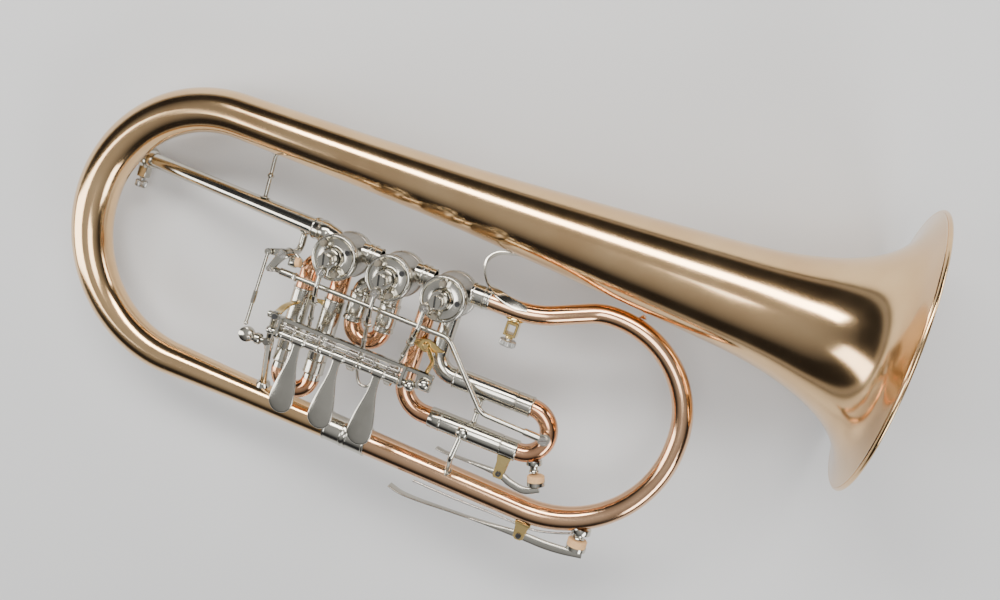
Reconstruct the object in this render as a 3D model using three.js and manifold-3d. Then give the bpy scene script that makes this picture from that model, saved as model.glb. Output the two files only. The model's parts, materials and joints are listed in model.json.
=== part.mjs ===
// A three-valve rotary flugelhorn: bell, bows, rotary valves with levers and links,
// pulling slides with a thumb trigger, two water keys, lyre box and finger ring.
// Millimetres. The instrument is drawn with its bell axis along +X (mouth centre at the
// origin), the loop of tubing in the XY plane and the valve levers facing +Z. The last
// group lays it down on the bell rim and the bow, as it rests on a table.

import * as THREE from 'three';
import { mergeVertices } from 'three/addons/utils/BufferGeometryUtils.js';
import Module from 'manifold-3d';

const wasm = await Module();
wasm.setup();

// ---- Driving dimensions -------------------------------------------------------------

const GAP = 0.3;              // clearance between neighbouring solids
const WALL = 0.7;             // sheet brass of the tubing
const BELL_RADIUS = 76;       // outside of the rim
const BELL_END_X = -300;      // where the bell's tail meets the bow
const BOW_X = -374;           // centre of the left bow
const BOW_RADIUS = 74.5;      // centre line of the left bow
const JOINT_X = -258;         // where the bow meets the rear branch, under the wide ferrule
const BRANCH_Y = -154.5;      // lowest line of the rear branch
const BRANCH_X = -82;         // furthest reach of the rear branch
const BRANCH_TOP_Y = -33;     // its upper run, just under the bell

const VALVE_X = [-287, -255, -223];
const VALVE_Y = -51.5;
const CASING_RADIUS = 12.3;
const CASING_LOW_Z = 3.5;
const CASING_TOP_Z = 26.7;
const PLATE_TOP_Z = 30;
const BORE_Z = 15;            // height of the valve ports and the slides
const PORT_Y = -45.5;         // main line through the valves
const TUBE_RADIUS = 5.2;      // outside of the slide tubing
const SLEEVE_RADIUS = 5.9;    // outside of the tubes that the slides run in
const ARM_Z = 34.2;           // underside of the stop arms
const STOP_ARM_LENGTH = 8;
const STOP_ARM_ANGLE = [262, 262, 228].map(THREE.MathUtils.degToRad);

const HINGE_Y = -98.3;        // lever axle
const HINGE_Z = 41;
const HINGE_TUBE_RADIUS = 2.1;
const AXLE_RADIUS = 1.2;
const LEVER_X = [-287.5, -264, -240.5];
const LEVER_PITCH = 23.5;
const LINK_FOOT_X = [-290.5, -257.8, -235.8];
const LINK_FOOT = [-96, 23.5];  // y and z of the ball under each lever
const HUB_SCREW_RADIUS = 2.9;
const LINK_EYE_RADIUS = 2.5;
const LINK_REACH = [8, 8, 11.5];   // level run of each link, over the trigger rod
const LINK_Z = 38.6;          // height of a link where it leaves its stop arm
const PADDLE_Y = -131;
const PADDLE_RADIUS = 6.5;

const FIRST_SLIDE_X = [-303, -284];
const SECOND_SLIDE_X = [-270.6, -252.8];
const THIRD_SLIDE_Y = [-92.5, -118.5];
const SLIDE_TUBE_RADIUS = 4.8;
const THIRD_SLEEVE_END_X = -169.5;
const THIRD_BOW_X = -147;

const CRANK = [-313, -58.5];  // pivot of the third-slide trigger
const CRANK_ARM = 11;
const TRIGGER_ROD_Y = -69;
const TRIGGER_ROD_Z = 30.2;
const THUMB = [-108, 33];     // y and z of the thumb lever's pivot
const THUMB_X = -317;

// How the instrument lies on a table: tipped on to the bell rim and the mouthpiece receiver.
const LIE_PITCH = THREE.MathUtils.degToRad(-5.7);

// ---- Materials ------------------------------------------------------------------------

const finish = (color, roughness, metalness = 1) =>
  new THREE.MeshStandardMaterial({ color, roughness, metalness });
const GOLD = finish(0xd9c08a, 0.16);
const ROSE = finish(0xb9764f, 0.2);
const NICKEL = finish(0xd5d3cc, 0.18);
const YELLOW = finish(0xcfa94e, 0.28);
const STEEL = finish(0x9b9b9a, 0.35);
const CORK = finish(0xd8b48a, 0.85, 0);

// ---- Geometry helpers --------------------------------------------------------------------

const v = (x, y, z) => new THREE.Vector3(x, y, z);

// A manifold solid from any closed three.js geometry.
function solid(geometry) {
  const bare = new THREE.BufferGeometry();
  bare.setAttribute('position', geometry.getAttribute('position').clone());
  if (geometry.index) bare.setIndex(geometry.index.clone());
  const merged = mergeVertices(bare, 1e-4);
  const vertProperties = new Float32Array(merged.getAttribute('position').array);
  const triVerts = [];
  const corner = merged.index.array;
  for (let i = 0; i < corner.length; i += 3) {
    const [a, b, c] = [corner[i], corner[i + 1], corner[i + 2]];
    if (a !== b && b !== c && c !== a) triVerts.push(a, b, c);
  }
  return new wasm.Manifold(new wasm.Mesh({
    numProp: 3, vertProperties, triVerts: new Uint32Array(triVerts),
  }));
}

function toGeometry(manifold) {
  const mesh = manifold.getMesh();
  const geometry = new THREE.BufferGeometry();
  const positions = new Float32Array(mesh.vertProperties);
  geometry.setAttribute('position', new THREE.BufferAttribute(positions, 3));
  geometry.setIndex(new THREE.BufferAttribute(new Uint32Array(mesh.triVerts), 1));
  geometry.computeVertexNormals();
  return geometry;
}

const join = (...pieces) =>
  toGeometry(pieces.map(solid).reduce((whole, piece) => whole.add(piece)));

function cut(base, ...tools) {
  return toGeometry(tools.map(solid).reduce((left, tool) => left.subtract(tool), solid(base)));
}

// Points along straight runs whose corners are rounded: each corner is [x, y, z, radius].
function route(corners, arcSteps = 8) {
  const points = [v(...corners[0].slice(0, 3))];
  for (let i = 1; i < corners.length - 1; i++) {
    const [before, at, after] = [i - 1, i, i + 1].map((k) => v(...corners[k].slice(0, 3)));
    const into = at.clone().sub(before).normalize();
    const out = after.clone().sub(at).normalize();
    const turn = into.angleTo(out);
    const radius = corners[i][3] ?? 0;
    if (radius === 0 || turn < 1e-3) {
      points.push(at);
      continue;
    }
    const setback = radius * Math.tan(turn / 2);
    const start = at.clone().addScaledVector(into, -setback);
    const inward = out.clone().addScaledVector(into, -Math.cos(turn)).normalize();
    const steps = Math.max(2, Math.round(arcSteps * turn / (Math.PI / 2)));
    for (let k = 0; k <= steps; k++) {
      const angle = turn * k / steps;
      points.push(start.clone()
        .addScaledVector(into, radius * Math.sin(angle))
        .addScaledVector(inward, radius * (1 - Math.cos(angle))));
    }
  }
  points.push(v(...corners.at(-1).slice(0, 3)));
  return points.filter((point, i) => i === 0 || point.distanceTo(points[i - 1]) > 1e-3);
}

// A round section swept along the points. The radius may be a function of the fraction of
// the length; a wall thickness makes an open pipe, and without one it is a solid rod.
function sweep(points, radius, wall = 0, sides = 16) {
  const distance = [0];
  for (let i = 1; i < points.length; i++) {
    distance.push(distance[i - 1] + points[i].distanceTo(points[i - 1]));
  }
  const radiusAt = typeof radius === 'function' ? radius : () => radius;
  const tangents = points.map((_, i) => points[Math.min(i + 1, points.length - 1)].clone()
    .sub(points[Math.max(i - 1, 0)]).normalize());
  let side = v(0, 0, 1).cross(tangents[0]);
  if (side.length() < 0.1) side = v(1, 0, 0);
  side.normalize();
  const positions = [];
  const index = [];
  const rings = points.length;
  const layers = wall > 0 ? 2 : 1;
  points.forEach((point, i) => {
    side = side.clone().addScaledVector(tangents[i], -side.dot(tangents[i])).normalize();
    const up = tangents[i].clone().cross(side);
    for (let layer = 0; layer < layers; layer++) {
      const r = radiusAt(distance[i] / distance.at(-1)) - layer * wall;
      for (let k = 0; k < sides; k++) {
        const angle = 2 * Math.PI * k / sides;
        const at = point.clone().addScaledVector(side, r * Math.cos(angle))
          .addScaledVector(up, r * Math.sin(angle));
        positions.push(at.x, at.y, at.z);
      }
    }
  });
  const id = (ring, layer, k) => (ring * layers + layer) * sides + (k % sides);
  const quad = (a, b, c, d) => index.push(a, b, c, a, c, d);
  for (let i = 0; i + 1 < rings; i++) {
    for (let k = 0; k < sides; k++) {
      quad(id(i, 0, k), id(i, 0, k + 1), id(i + 1, 0, k + 1), id(i + 1, 0, k));
      if (wall > 0) quad(id(i, 1, k + 1), id(i, 1, k), id(i + 1, 1, k), id(i + 1, 1, k + 1));
    }
  }
  const last = rings - 1;
  for (let k = 0; k < sides; k++) {
    if (wall > 0) {
      quad(id(0, 0, k + 1), id(0, 0, k), id(0, 1, k), id(0, 1, k + 1));
      quad(id(last, 0, k), id(last, 0, k + 1), id(last, 1, k + 1), id(last, 1, k));
    } else if (k > 0 && k < sides - 1) {
      index.push(id(0, 0, 0), id(0, 0, k + 1), id(0, 0, k));
      index.push(id(last, 0, 0), id(last, 0, k), id(last, 0, k + 1));
    }
  }
  const geometry = new THREE.BufferGeometry();
  geometry.setAttribute('position', new THREE.Float32BufferAttribute(positions, 3));
  geometry.setIndex(index);
  geometry.computeVertexNormals();
  return geometry;
}

const rod = (from, to, radius, sides = 10) => sweep([v(...from), v(...to)], radius, 0, sides);
const pipe = (from, to, radius, wall = WALL, sides = 12) =>
  sweep([v(...from), v(...to)], radius, wall, sides);

function box(low, high) {
  const size = high.map((value, i) => value - low[i]);
  const geometry = new THREE.BoxGeometry(...size);
  geometry.translate(...high.map((value, i) => (value + low[i]) / 2));
  return geometry;
}

function ball(at, radius, detail = 8) {
  const geometry = new THREE.SphereGeometry(radius, detail, detail / 2);
  geometry.translate(...at);
  return geometry;
}

// A profile of [radius, height] pairs turned about a line through a point, along +X or +Z.
function turned(profile, at = [0, 0, 0], axis = 'z', segments = 20) {
  const geometry = new THREE.LatheGeometry(
    profile.map(([radius, height]) => new THREE.Vector2(radius, height)), segments);
  if (axis === 'z') geometry.rotateX(Math.PI / 2);
  if (axis === 'x') geometry.rotateZ(-Math.PI / 2);
  geometry.translate(...at);
  return geometry;
}

// A flat outline in XY given a thickness upward from a height.
function flat(shape, low, thickness, curveSegments = 8) {
  const geometry = new THREE.ExtrudeGeometry(shape, {
    depth: thickness, bevelEnabled: false, curveSegments,
  });
  geometry.translate(0, 0, low);
  return geometry;
}

// A radius that changes evenly between [fraction of the length, radius] stations.
const taper = (stations) => (fraction) => {
  const next = Math.max(1, stations.findIndex(([at]) => at >= fraction));
  const [[from, low], [to, high]] = [stations[next - 1], stations[next]];
  return low + (high - low) * (fraction - from) / (to - from);
};

// ---- The instrument -------------------------------------------------------------------------

const instrument = new THREE.Group();

function add(name, geometry, material, group = instrument) {
  const mesh = new THREE.Mesh(geometry, material);
  mesh.name = name;
  group.add(mesh);
  return mesh;
}

// ---- Bell, bows and rear branch ----------------------------------------------------------------

function bellGeometry() {
  const outline = new THREE.SplineCurve([
    [14.6, BELL_END_X], [16.6, -250], [19.5, -200], [23, -150], [26.8, -100], [30.2, -66],
    [35.6, -42], [42, -25.5], [50, -13.5], [60, -6], [BELL_RADIUS - 2, -2],
  ].map(([radius, x]) => new THREE.Vector2(radius, x))).getPoints(14);
  const inside = outline.map((point, i) => {
    const along = outline[Math.min(i + 1, outline.length - 1)].clone()
      .sub(outline[Math.max(i - 1, 0)]).normalize();
    return [point.x - along.y * WALL, point.y + along.x * WALL];
  });
  const profile = [...outline.map((point) => [point.x, point.y]), ...inside.reverse()];
  return turned([...profile, profile[0]], [0, 0, 0], 'x', 30);
}

const rim = BELL_RADIUS;
add('bell', bellGeometry(), GOLD);
add('rim_wire', turned([
  [rim - 2.4, -0.9], [rim - 0.4, -1.4], [rim, -0.6], [rim, 0.4], [rim - 0.6, 1],
  [rim - 2.6, 1], [rim - 2.4, -0.9],
], [0, 0, 0], 'x', 30), GOLD);

const bowLow = -2 * BOW_RADIUS;
const jointY = bowLow + (BRANCH_Y - bowLow) * (JOINT_X - BOW_X) / (BRANCH_X - 65 - BOW_X);
const bowLeft = BOW_X - BOW_RADIUS;
add('main_bow', sweep(route([
  [BELL_END_X - GAP, 0, 0], [bowLeft, 0, 0, BOW_RADIUS], [bowLeft, bowLow, 0, BOW_RADIUS],
  [JOINT_X - GAP / 2, jointY, 0],
], 7), taper([[0, 14.5], [0.17, 12.8], [0.45, 12.3], [0.7, 10.2], [0.83, 8.4], [1, 7.6]]),
WALL, 14), GOLD);
add('wide_ferrule', pipe([JOINT_X - 13.5, jointY + 0.3, 0], [JOINT_X + 13.5, jointY - 0.3, 0],
  8.6, 0.5, 20), NICKEL);

const casingBlank = (x) => rod([x, VALVE_Y, -10], [x, VALVE_Y, 40], CASING_RADIUS + GAP, 20);
const trimmed = (geometry, ...valves) => cut(geometry, ...valves.map((i) =>
  casingBlank(VALVE_X[i])));

add('rear_branch', trimmed(join(sweep(route([
  [JOINT_X + GAP / 2, jointY, 0], [BRANCH_X, BRANCH_Y, 0, 65], [BRANCH_X, BRANCH_TOP_Y, 0, 53],
  [-143, BRANCH_TOP_Y, 1, 30], [-176, PORT_Y - 0.5, 12, 50], [-203, PORT_Y, BORE_Z],
], 6), taper([[0, 7.6], [0.3, 7.2], [0.5, 6], [0.75, 5.6], [1, 5.4]]), WALL, 12),
pipe([VALVE_X[2] + 7, PORT_Y, BORE_Z], [-203.2, PORT_Y, BORE_Z], 6.2, 1.2)), 2), ROSE);

// ---- Valves --------------------------------------------------------------------------------

[0, 1].forEach((i) => add(`valve_knuckle_${i + 1}`, trimmed(
  pipe([VALVE_X[i] + 5, PORT_Y, BORE_Z], [VALVE_X[i + 1] - 5, PORT_Y, BORE_Z], TUBE_RADIUS),
  i, i + 1), NICKEL));

function rotorGeometry(x) {
  const body = turned([
    [0, CASING_LOW_Z + 0.7], [10.5, CASING_LOW_Z + 0.7], [10.5, CASING_TOP_Z - 0.5],
    [2.9, CASING_TOP_Z - 0.5], [2.9, ARM_Z - GAP], [0, ARM_Z - GAP],
  ], [x, VALVE_Y, 0], 'z');
  const passage = (side) => sweep(route([
    [x - 14, VALVE_Y + side * 9, BORE_Z], [x, VALVE_Y + side * 3.5, BORE_Z, 10],
    [x + 14, VALVE_Y + side * 9, BORE_Z],
  ], 4), 4, 0, 8);
  return cut(body, passage(1), passage(-1));
}

function stopArmGeometry(x, angle) {
  const pin = [x + STOP_ARM_LENGTH * Math.cos(angle), VALVE_Y + STOP_ARM_LENGTH * Math.sin(angle)];
  const top = ARM_Z + 2.6;
  return join(
    rod([x, VALVE_Y, ARM_Z], [x, VALVE_Y, top], 5, 18),
    rod([...pin, ARM_Z], [...pin, top], 3.1, 14),
    rod([x, VALVE_Y, ARM_Z + 1.3], [...pin, ARM_Z + 1.3], 1.28, 8));
}

function linkGeometry(i) {
  const angle = STOP_ARM_ANGLE[i];
  const eye = [VALVE_X[i] + STOP_ARM_LENGTH * Math.cos(angle),
    VALVE_Y + STOP_ARM_LENGTH * Math.sin(angle)];
  const foot = [LINK_FOOT_X[i], ...LINK_FOOT];
  const low = ARM_Z + 2.6 + GAP;
  return join(
    rod([...eye, low], [...eye, low + 3], LINK_EYE_RADIUS, 14),
    sweep(route([[...eye, LINK_Z], [eye[0], eye[1] - LINK_REACH[i], LINK_Z, 3],
      [foot[0], foot[1] + 2.6, foot[2] + 1.2]], 4), 1.1, 0, 8));
}

VALVE_X.forEach((x, i) => {
  const n = i + 1;
  const r = CASING_RADIUS;
  add(`valve_casing_${n}`, turned([
    [10.9, CASING_LOW_Z], [r, CASING_LOW_Z], [r, CASING_TOP_Z], [10.9, CASING_TOP_Z],
    [10.9, CASING_LOW_Z],
  ], [x, VALVE_Y, 0]), NICKEL);
  add(`bottom_cap_${n}`, turned([
    [0, -3.6], [4, -3.6], [4.5, -2.6], [10.5, -1.8], [12.8, 0], [12.8, CASING_LOW_Z - GAP],
    [0, CASING_LOW_Z - GAP],
  ], [x, VALVE_Y, 0]), NICKEL);
  add(`top_plate_${n}`, turned([
    [3.3, CASING_TOP_Z + GAP], [12.64, CASING_TOP_Z + GAP], [12.64, PLATE_TOP_Z],
    [11.4, PLATE_TOP_Z], [10.8, PLATE_TOP_Z - 0.8], [6.4, PLATE_TOP_Z - 0.8],
    [5.6, PLATE_TOP_Z + 2.6], [3.3, PLATE_TOP_Z + 2.6], [3.3, CASING_TOP_Z + GAP],
  ], [x, VALVE_Y, 0]), NICKEL);
  add(`rotor_${n}`, rotorGeometry(x), NICKEL);
  add(`stop_arm_${n}`, stopArmGeometry(x, STOP_ARM_ANGLE[i]), NICKEL);
  const screwLow = ARM_Z + 2.6 + GAP;
  add(`hub_screw_${n}`, cut(
    rod([x, VALVE_Y, screwLow], [x, VALVE_Y, screwLow + 7.4], HUB_SCREW_RADIUS, 20),
    box([x - 4, VALVE_Y - 0.4, screwLow + 6.2], [x + 4, VALVE_Y + 0.4, screwLow + 8])), STEEL);
  add(`link_${n}`, linkGeometry(i), NICKEL);
});

// ---- Levers ----------------------------------------------------------------------------------

function paddleShape(x) {
  const neck = 2.2;
  const shape = new THREE.Shape();
  shape.moveTo(x + neck, HINGE_Y - 2);
  shape.quadraticCurveTo(x + neck + 0.6, PADDLE_Y + 14, x + PADDLE_RADIUS, PADDLE_Y);
  shape.absarc(x, PADDLE_Y, PADDLE_RADIUS, 0, -Math.PI, true);
  shape.quadraticCurveTo(x - neck - 0.6, PADDLE_Y + 14, x - neck, HINGE_Y - 2);
  return shape;
}

function leverGeometry(i) {
  const x = LEVER_X[i];
  const half = LEVER_PITCH / 2 - GAP / 2;
  const foot = LINK_FOOT_X[i];
  const bore = rod([x - 20, HINGE_Y, HINGE_Z], [x + 20, HINGE_Y, HINGE_Z],
    AXLE_RADIUS + GAP, 12);
  const arm = sweep(route([
    [foot, HINGE_Y - 1.4, HINGE_Z - 1], [foot, HINGE_Y - 4, HINGE_Z - 7, 3],
    [foot, LINK_FOOT[0] - 2, LINK_FOOT[1] + 3, 3], [foot, ...LINK_FOOT],
  ], 4), 1.2, 0, 8);
  const whole = join(
    rod([x - half, HINGE_Y, HINGE_Z], [x + half, HINGE_Y, HINGE_Z], HINGE_TUBE_RADIUS, 14),
    rod([x - 2.5, HINGE_Y, HINGE_Z], [x + 2.5, HINGE_Y, HINGE_Z], 2.8, 16),
    flat(paddleShape(x), HINGE_Z + 0.9, 1.2), arm, ball([foot, ...LINK_FOOT], 1.8, 8));
  return cut(whole, bore);
}

const leverEnds = [LEVER_X[0] - LEVER_PITCH / 2, LEVER_X[2] + LEVER_PITCH / 2];
LEVER_X.forEach((x, i) => {
  add(`lever_${i + 1}`, leverGeometry(i), NICKEL);
});
add('lever_axle', join(
  rod([leverEnds[0] - 5.5, HINGE_Y, HINGE_Z], [leverEnds[1] + 6, HINGE_Y, HINGE_Z], AXLE_RADIUS),
  ball([leverEnds[0] - 6, HINGE_Y, HINGE_Z], 2.4), ball([leverEnds[1] + 5.4, HINGE_Y, HINGE_Z], 2.5),
), NICKEL);

const SPRING_Y = HINGE_Y + 4.4;
function leverFrameGeometry() {
  const barY = [-91.6, -89.2];
  const barZ = [38.4, 41.4];
  const post = (x) => box([x, HINGE_Y - 3, HINGE_Z - 3.4], [x + 2, barY[1], HINGE_Z + 3.2]);
  const left = leverEnds[0] - 2 - GAP;
  const right = leverEnds[1] + GAP;
  const whole = join(
    box([left - 7, barY[0], barZ[0]], [right + 14, barY[1], barZ[1]]),
    post(left), post(right),
    rod([left + 1, SPRING_Y, HINGE_Z - 0.6], [right + 1, SPRING_Y, HINGE_Z - 0.6], 0.8, 10),
    box([right + 8, -98, barZ[0]], [right + 14, barY[1], barZ[1]]),
    sweep(route([[left - 4, barY[0] + 1, 39], [left - 6, HINGE_Y - 5.7, 33, 3],
      [left - 13, -140.8, 2]], 4), 1.6, 0, 8));
  return cut(whole, rod([left - 4, HINGE_Y, HINGE_Z], [right + 4, HINGE_Y, HINGE_Z],
    AXLE_RADIUS + GAP, 12));
}
add('lever_frame', leverFrameGeometry(), NICKEL);

// One return spring lies between the bar and each lever tube, on the frame's spring rod.
LEVER_X.forEach((x, i) => {
  add(`lever_spring_${i + 1}`, pipe([x - 8.5, SPRING_Y, HINGE_Z - 0.6],
    [x + 8.5, SPRING_Y, HINGE_Z - 0.6], 1.6, 0.6, 14), STEEL);
});

// ---- Mouthpipe ----------------------------------------------------------------------------------

const PIPE_END = [-303, -42.4, 14.6];       // at the first valve
const PIPE_START = [-427.5, -44.6, -17.3];  // where the receiver begins
const pipeAt = (x) => {
  const t = (x - PIPE_END[0]) / (PIPE_START[0] - PIPE_END[0]);
  return PIPE_END.map((value, i) => value + (PIPE_START[i] - value) * t);
};
const RECEIVER_X = -456;

add('mouthpipe', trimmed(join(
  sweep([v(...pipeAt(-427.2)), v(...PIPE_END)], taper([[0, 4.1], [1, 5.1]]), WALL, 16),
  pipe(pipeAt(-304), pipeAt(-292), 6.1, 1.4)), 0), NICKEL);
const clampAt = pipeAt(-434);
add('mouthpiece_receiver', cut(join(
  rod(pipeAt(RECEIVER_X), pipeAt(PIPE_START[0]), 5.5, 16),
  rod(pipeAt(RECEIVER_X), pipeAt(RECEIVER_X + 3), 6.4, 16),
  rod(pipeAt(-437), pipeAt(-431), 7, 16),
  box([clampAt[0] - 2.4, -57, clampAt[2] - 2.4], [clampAt[0] + 2.4, -49, clampAt[2] + 2.4])),
rod(pipeAt(RECEIVER_X - 1), pipeAt(PIPE_START[0] + 1), 4.4, 16)), NICKEL);
add('clamp_screw', join(
  rod([clampAt[0], -57.3, clampAt[2]], [clampAt[0], -59.2, clampAt[2]], 1.6, 12),
  rod([clampAt[0], -59, clampAt[2]], [clampAt[0], -63.4, clampAt[2]], 3.6, 18)), NICKEL);
const braceFoot = pipeAt(-345);
add('mouthpipe_brace', join(
  rod([-347.6, -15, 0], [braceFoot[0], -37.5, braceFoot[2]], 1.2, 10),
  rod([-347.6, -14.9, 0], [-347.5, -15.9, 0], 3, 14),
  rod([braceFoot[0], -36.6, braceFoot[2]], [braceFoot[0], -37.7, braceFoot[2]], 2.8, 14)),
NICKEL);

// ---- Pulling slides ----------------------------------------------------------------------------------

// Two sleeves side by side, with the tubes that lead to them from a valve and a cross brace.
function slideTubes(leads, sleeves, brace, valve) {
  const whole = join(
    ...leads.map((corners) => sweep(route(corners, 4), TUBE_RADIUS, 0, 12)),
    ...sleeves.map(([from, to]) => rod(from, to, SLEEVE_RADIUS, 12)), brace);
  const bores = sleeves.map(([from, to]) => rod(
    from.map((value, i) => value + (to[i] - value) * 0.06),
    to.map((value, i) => value + (value - from[i]) * 0.1), SLIDE_TUBE_RADIUS + 0.4, 12));
  return trimmed(cut(whole, ...bores), valve);
}

// The crook that slides in two sleeves: tubes joined by a bend, with a ring on each leg.
function crookGeometry(corners, rings, ...extras) {
  const tube = sweep(route(corners, 4), SLIDE_TUBE_RADIUS, 0.6, 12);
  return join(tube, ...rings.map(([from, to]) =>
    pipe(from, to, SLEEVE_RADIUS, SLEEVE_RADIUS - SLIDE_TUBE_RADIUS + 0.3)), ...extras);
}

const SLEEVE_START_Y = -76;
const FIRST_SLEEVE_END_Y = -112;
const [firstLeft, firstRight] = FIRST_SLIDE_X;
add('first_slide_tubes', slideTubes([
  [[VALVE_X[0] - 8, -59.5, BORE_Z], [firstLeft, -59.5, BORE_Z, 6],
    [firstLeft, SLEEVE_START_Y - 1, BORE_Z]],
  [[firstRight, VALVE_Y - 6, BORE_Z], [firstRight, SLEEVE_START_Y - 1, BORE_Z]],
], FIRST_SLIDE_X.map((x) => [[x, SLEEVE_START_Y, BORE_Z], [x, FIRST_SLEEVE_END_Y, BORE_Z]]),
box([firstLeft, -81, BORE_Z - 1.2], [firstRight, -78.6, BORE_Z + 1.2]), 0), NICKEL);
const firstBend = (firstRight - firstLeft) / 2;
const firstTip = -124 - firstBend;
add('first_slide_crook', crookGeometry([
  [firstLeft, -82, BORE_Z], [firstLeft, firstTip, BORE_Z, firstBend],
  [firstRight, firstTip, BORE_Z, firstBend], [firstRight, -82, BORE_Z],
], FIRST_SLIDE_X.map((x) => [[x, FIRST_SLEEVE_END_Y - GAP, BORE_Z], [x, -120, BORE_Z]])), ROSE);

const SECOND_SLEEVE_END_Y = -80;
const [secondLeft, secondRight] = SECOND_SLIDE_X;
add('second_slide_tubes', slideTubes([
  [[VALVE_X[1] - 7, VALVE_Y - 8, BORE_Z], [secondLeft, VALVE_Y - 10.5, BORE_Z, 5],
    [secondLeft, -69, BORE_Z]],
  [[secondRight, VALVE_Y - 6, BORE_Z], [secondRight, -69, BORE_Z]],
], SECOND_SLIDE_X.map((x) => [[x, -67, BORE_Z], [x, SECOND_SLEEVE_END_Y, BORE_Z]]),
box([secondLeft, -70.4, BORE_Z - 1], [secondRight, -68.4, BORE_Z + 1]), 1), NICKEL);
const secondBend = (secondRight - secondLeft) / 2;
const secondTip = -83 - secondBend;
add('second_slide_crook', crookGeometry([
  [secondLeft, -69.5, BORE_Z], [secondLeft, secondTip, BORE_Z, secondBend],
  [secondRight, secondTip, BORE_Z, secondBend], [secondRight, -69.5, BORE_Z],
], SECOND_SLIDE_X.map((x) => [[x, SECOND_SLEEVE_END_Y - GAP, BORE_Z], [x, -83, BORE_Z]])), ROSE);

const THIRD_SLEEVE_START_X = -206;
const [thirdUpper, thirdLower] = THIRD_SLIDE_Y;
add('third_slide_tubes', slideTubes([
  [[VALVE_X[2] + 4.6, VALVE_Y - 6, BORE_Z], [VALVE_X[2] + 4.6, thirdUpper, BORE_Z, 11],
    [THIRD_SLEEVE_START_X + 1, thirdUpper, BORE_Z]],
  [[VALVE_X[2] - 9, VALVE_Y - 4, BORE_Z], [VALVE_X[2] - 9, thirdLower, BORE_Z, 16],
    [THIRD_SLEEVE_START_X + 1, thirdLower, BORE_Z]],
], THIRD_SLIDE_Y.map((y) => [[THIRD_SLEEVE_START_X, y, BORE_Z],
  [THIRD_SLEEVE_END_X, y, BORE_Z]]),
join(rod([-188, thirdUpper, BORE_Z - 1], [-188, thirdLower, BORE_Z - 1], 1.6, 10),
  rod([-192, thirdLower, BORE_Z - 1], [-194, -144.5, 3], 1.6, 10)), 2), NICKEL);

// The third crook carries the seat and bracket of its own water key.
const KEY_3_PIVOT = [-165.5, -133.5, BORE_Z];
const thirdBend = (thirdUpper - thirdLower) / 2;
add('third_slide_crook', crookGeometry([
  [-200, thirdUpper, BORE_Z], [THIRD_BOW_X, thirdUpper, BORE_Z, thirdBend],
  [THIRD_BOW_X, thirdLower, BORE_Z, thirdBend], [-200, thirdLower, BORE_Z],
], THIRD_SLIDE_Y.map((y) => [[THIRD_SLEEVE_END_X + GAP, y, BORE_Z], [-160, y, BORE_Z]]),
box([-168, -135.5, BORE_Z + 2.2], [-163, thirdLower - 5, BORE_Z + 3.2]),
box([-168, -135.5, BORE_Z - 3.2], [-163, thirdLower - 5, BORE_Z - 2.2]),
box([-168, thirdLower - 6, BORE_Z - 3.2], [-163, thirdLower - 5.2, BORE_Z + 3.2]),
rod([-149.5, thirdLower + 1.5, BORE_Z], [-146.5, -126, BORE_Z], 2.2, 12)), ROSE);

// ---- Water keys ------------------------------------------------------------------------------------------

// A lever on a pivot, drawn as a flat curved bar with a cup for the cork at one end.
function waterKeyGeometry(points, pivot, cup, cupDirection, thickness) {
  const bar = sweep(route(points, 4), thickness, 0, 8);
  const barrel = rod([pivot[0], pivot[1], pivot[2] - 1.9], [pivot[0], pivot[1], pivot[2] + 1.9],
    1.9, 12);
  const dish = rod(cup, cup.map((value, i) => value + cupDirection[i] * 2), 3.6, 14);
  return join(bar, barrel, dish);
}

add('third_water_key', waterKeyGeometry([
  [-203, -134, BORE_Z], [-180, -134, BORE_Z], [KEY_3_PIVOT[0], KEY_3_PIVOT[1], BORE_Z, 3],
  [-158, -137, BORE_Z, 6], [-150, -137.6, BORE_Z, 3], [-143.6, -133.4, BORE_Z],
], KEY_3_PIVOT, [-144.6, -131.6, BORE_Z], [0.42, -0.9, 0], 1.1), NICKEL);
add('third_water_key_cork', rod([-146.3, -127, BORE_Z], [-144.8, -131.2, BORE_Z], 3.4, 14), CORK);

const KEY_PIVOT = [-145, -168.2, 0];
add('water_key_seat', join(
  rod([-113.6, -153.9, 0], [-113.4, -157.2, 0], 3.6, 14),
  box([-147.6, KEY_PIVOT[1] - 1.8, 2.2], [-142.6, -161.5, 3.2]),
  box([-147.6, KEY_PIVOT[1] - 1.8, -3.2], [-142.6, -161.5, -2.2]),
  box([-147.6, -163.2, -3.2], [-142.6, -162.2, 3.2]),
  sweep(route([[-213, -163.1, 0], [-140, -163.1, 0, 60], [-113.5, -154.6, 0]], 6), 0.7, 0, 8)),
YELLOW);
add('water_key', waterKeyGeometry([
  [-225, -171, 0], [-211, -173, 0, 12], [-174, -172.4, 0, 20], [KEY_PIVOT[0], KEY_PIVOT[1], 0, 8],
  [-128, -168.6, 0, 10], [-112, -164.9, 0],
], KEY_PIVOT, [-113, -162.6, 0], [0.1, -1, 0], 1.1), NICKEL);
add('water_key_cork', rod([-113.4, -157.6, 0], [-113.1, -162.2, 0], 4.2, 14), CORK);

// ---- Lyre box and finger ring --------------------------------------------------------------------------------

add('lyre_box', cut(join(
  box([-191, -53.4, 6.5], [-181, -52.2, 13.5]), box([-189, -61, 6.5], [-182, -53, 13.5])),
box([-187.6, -59.6, 0], [-183.4, -54.6, 20])), YELLOW);
add('lyre_screw', join(rod([-185.5, -61.3, 10], [-185.5, -64, 10], 1.5, 10),
  rod([-185.5, -63.8, 10], [-185.5, -67.4, 10], 3.8, 18)), NICKEL);
add('finger_ring', sweep(route([
  [-201, -21.6, 2], [-215, -22, 4, 8], [-209, -38, 6, 10], [-192, -39.4, 9],
], 5), 1.3, 0, 10), YELLOW);

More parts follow.
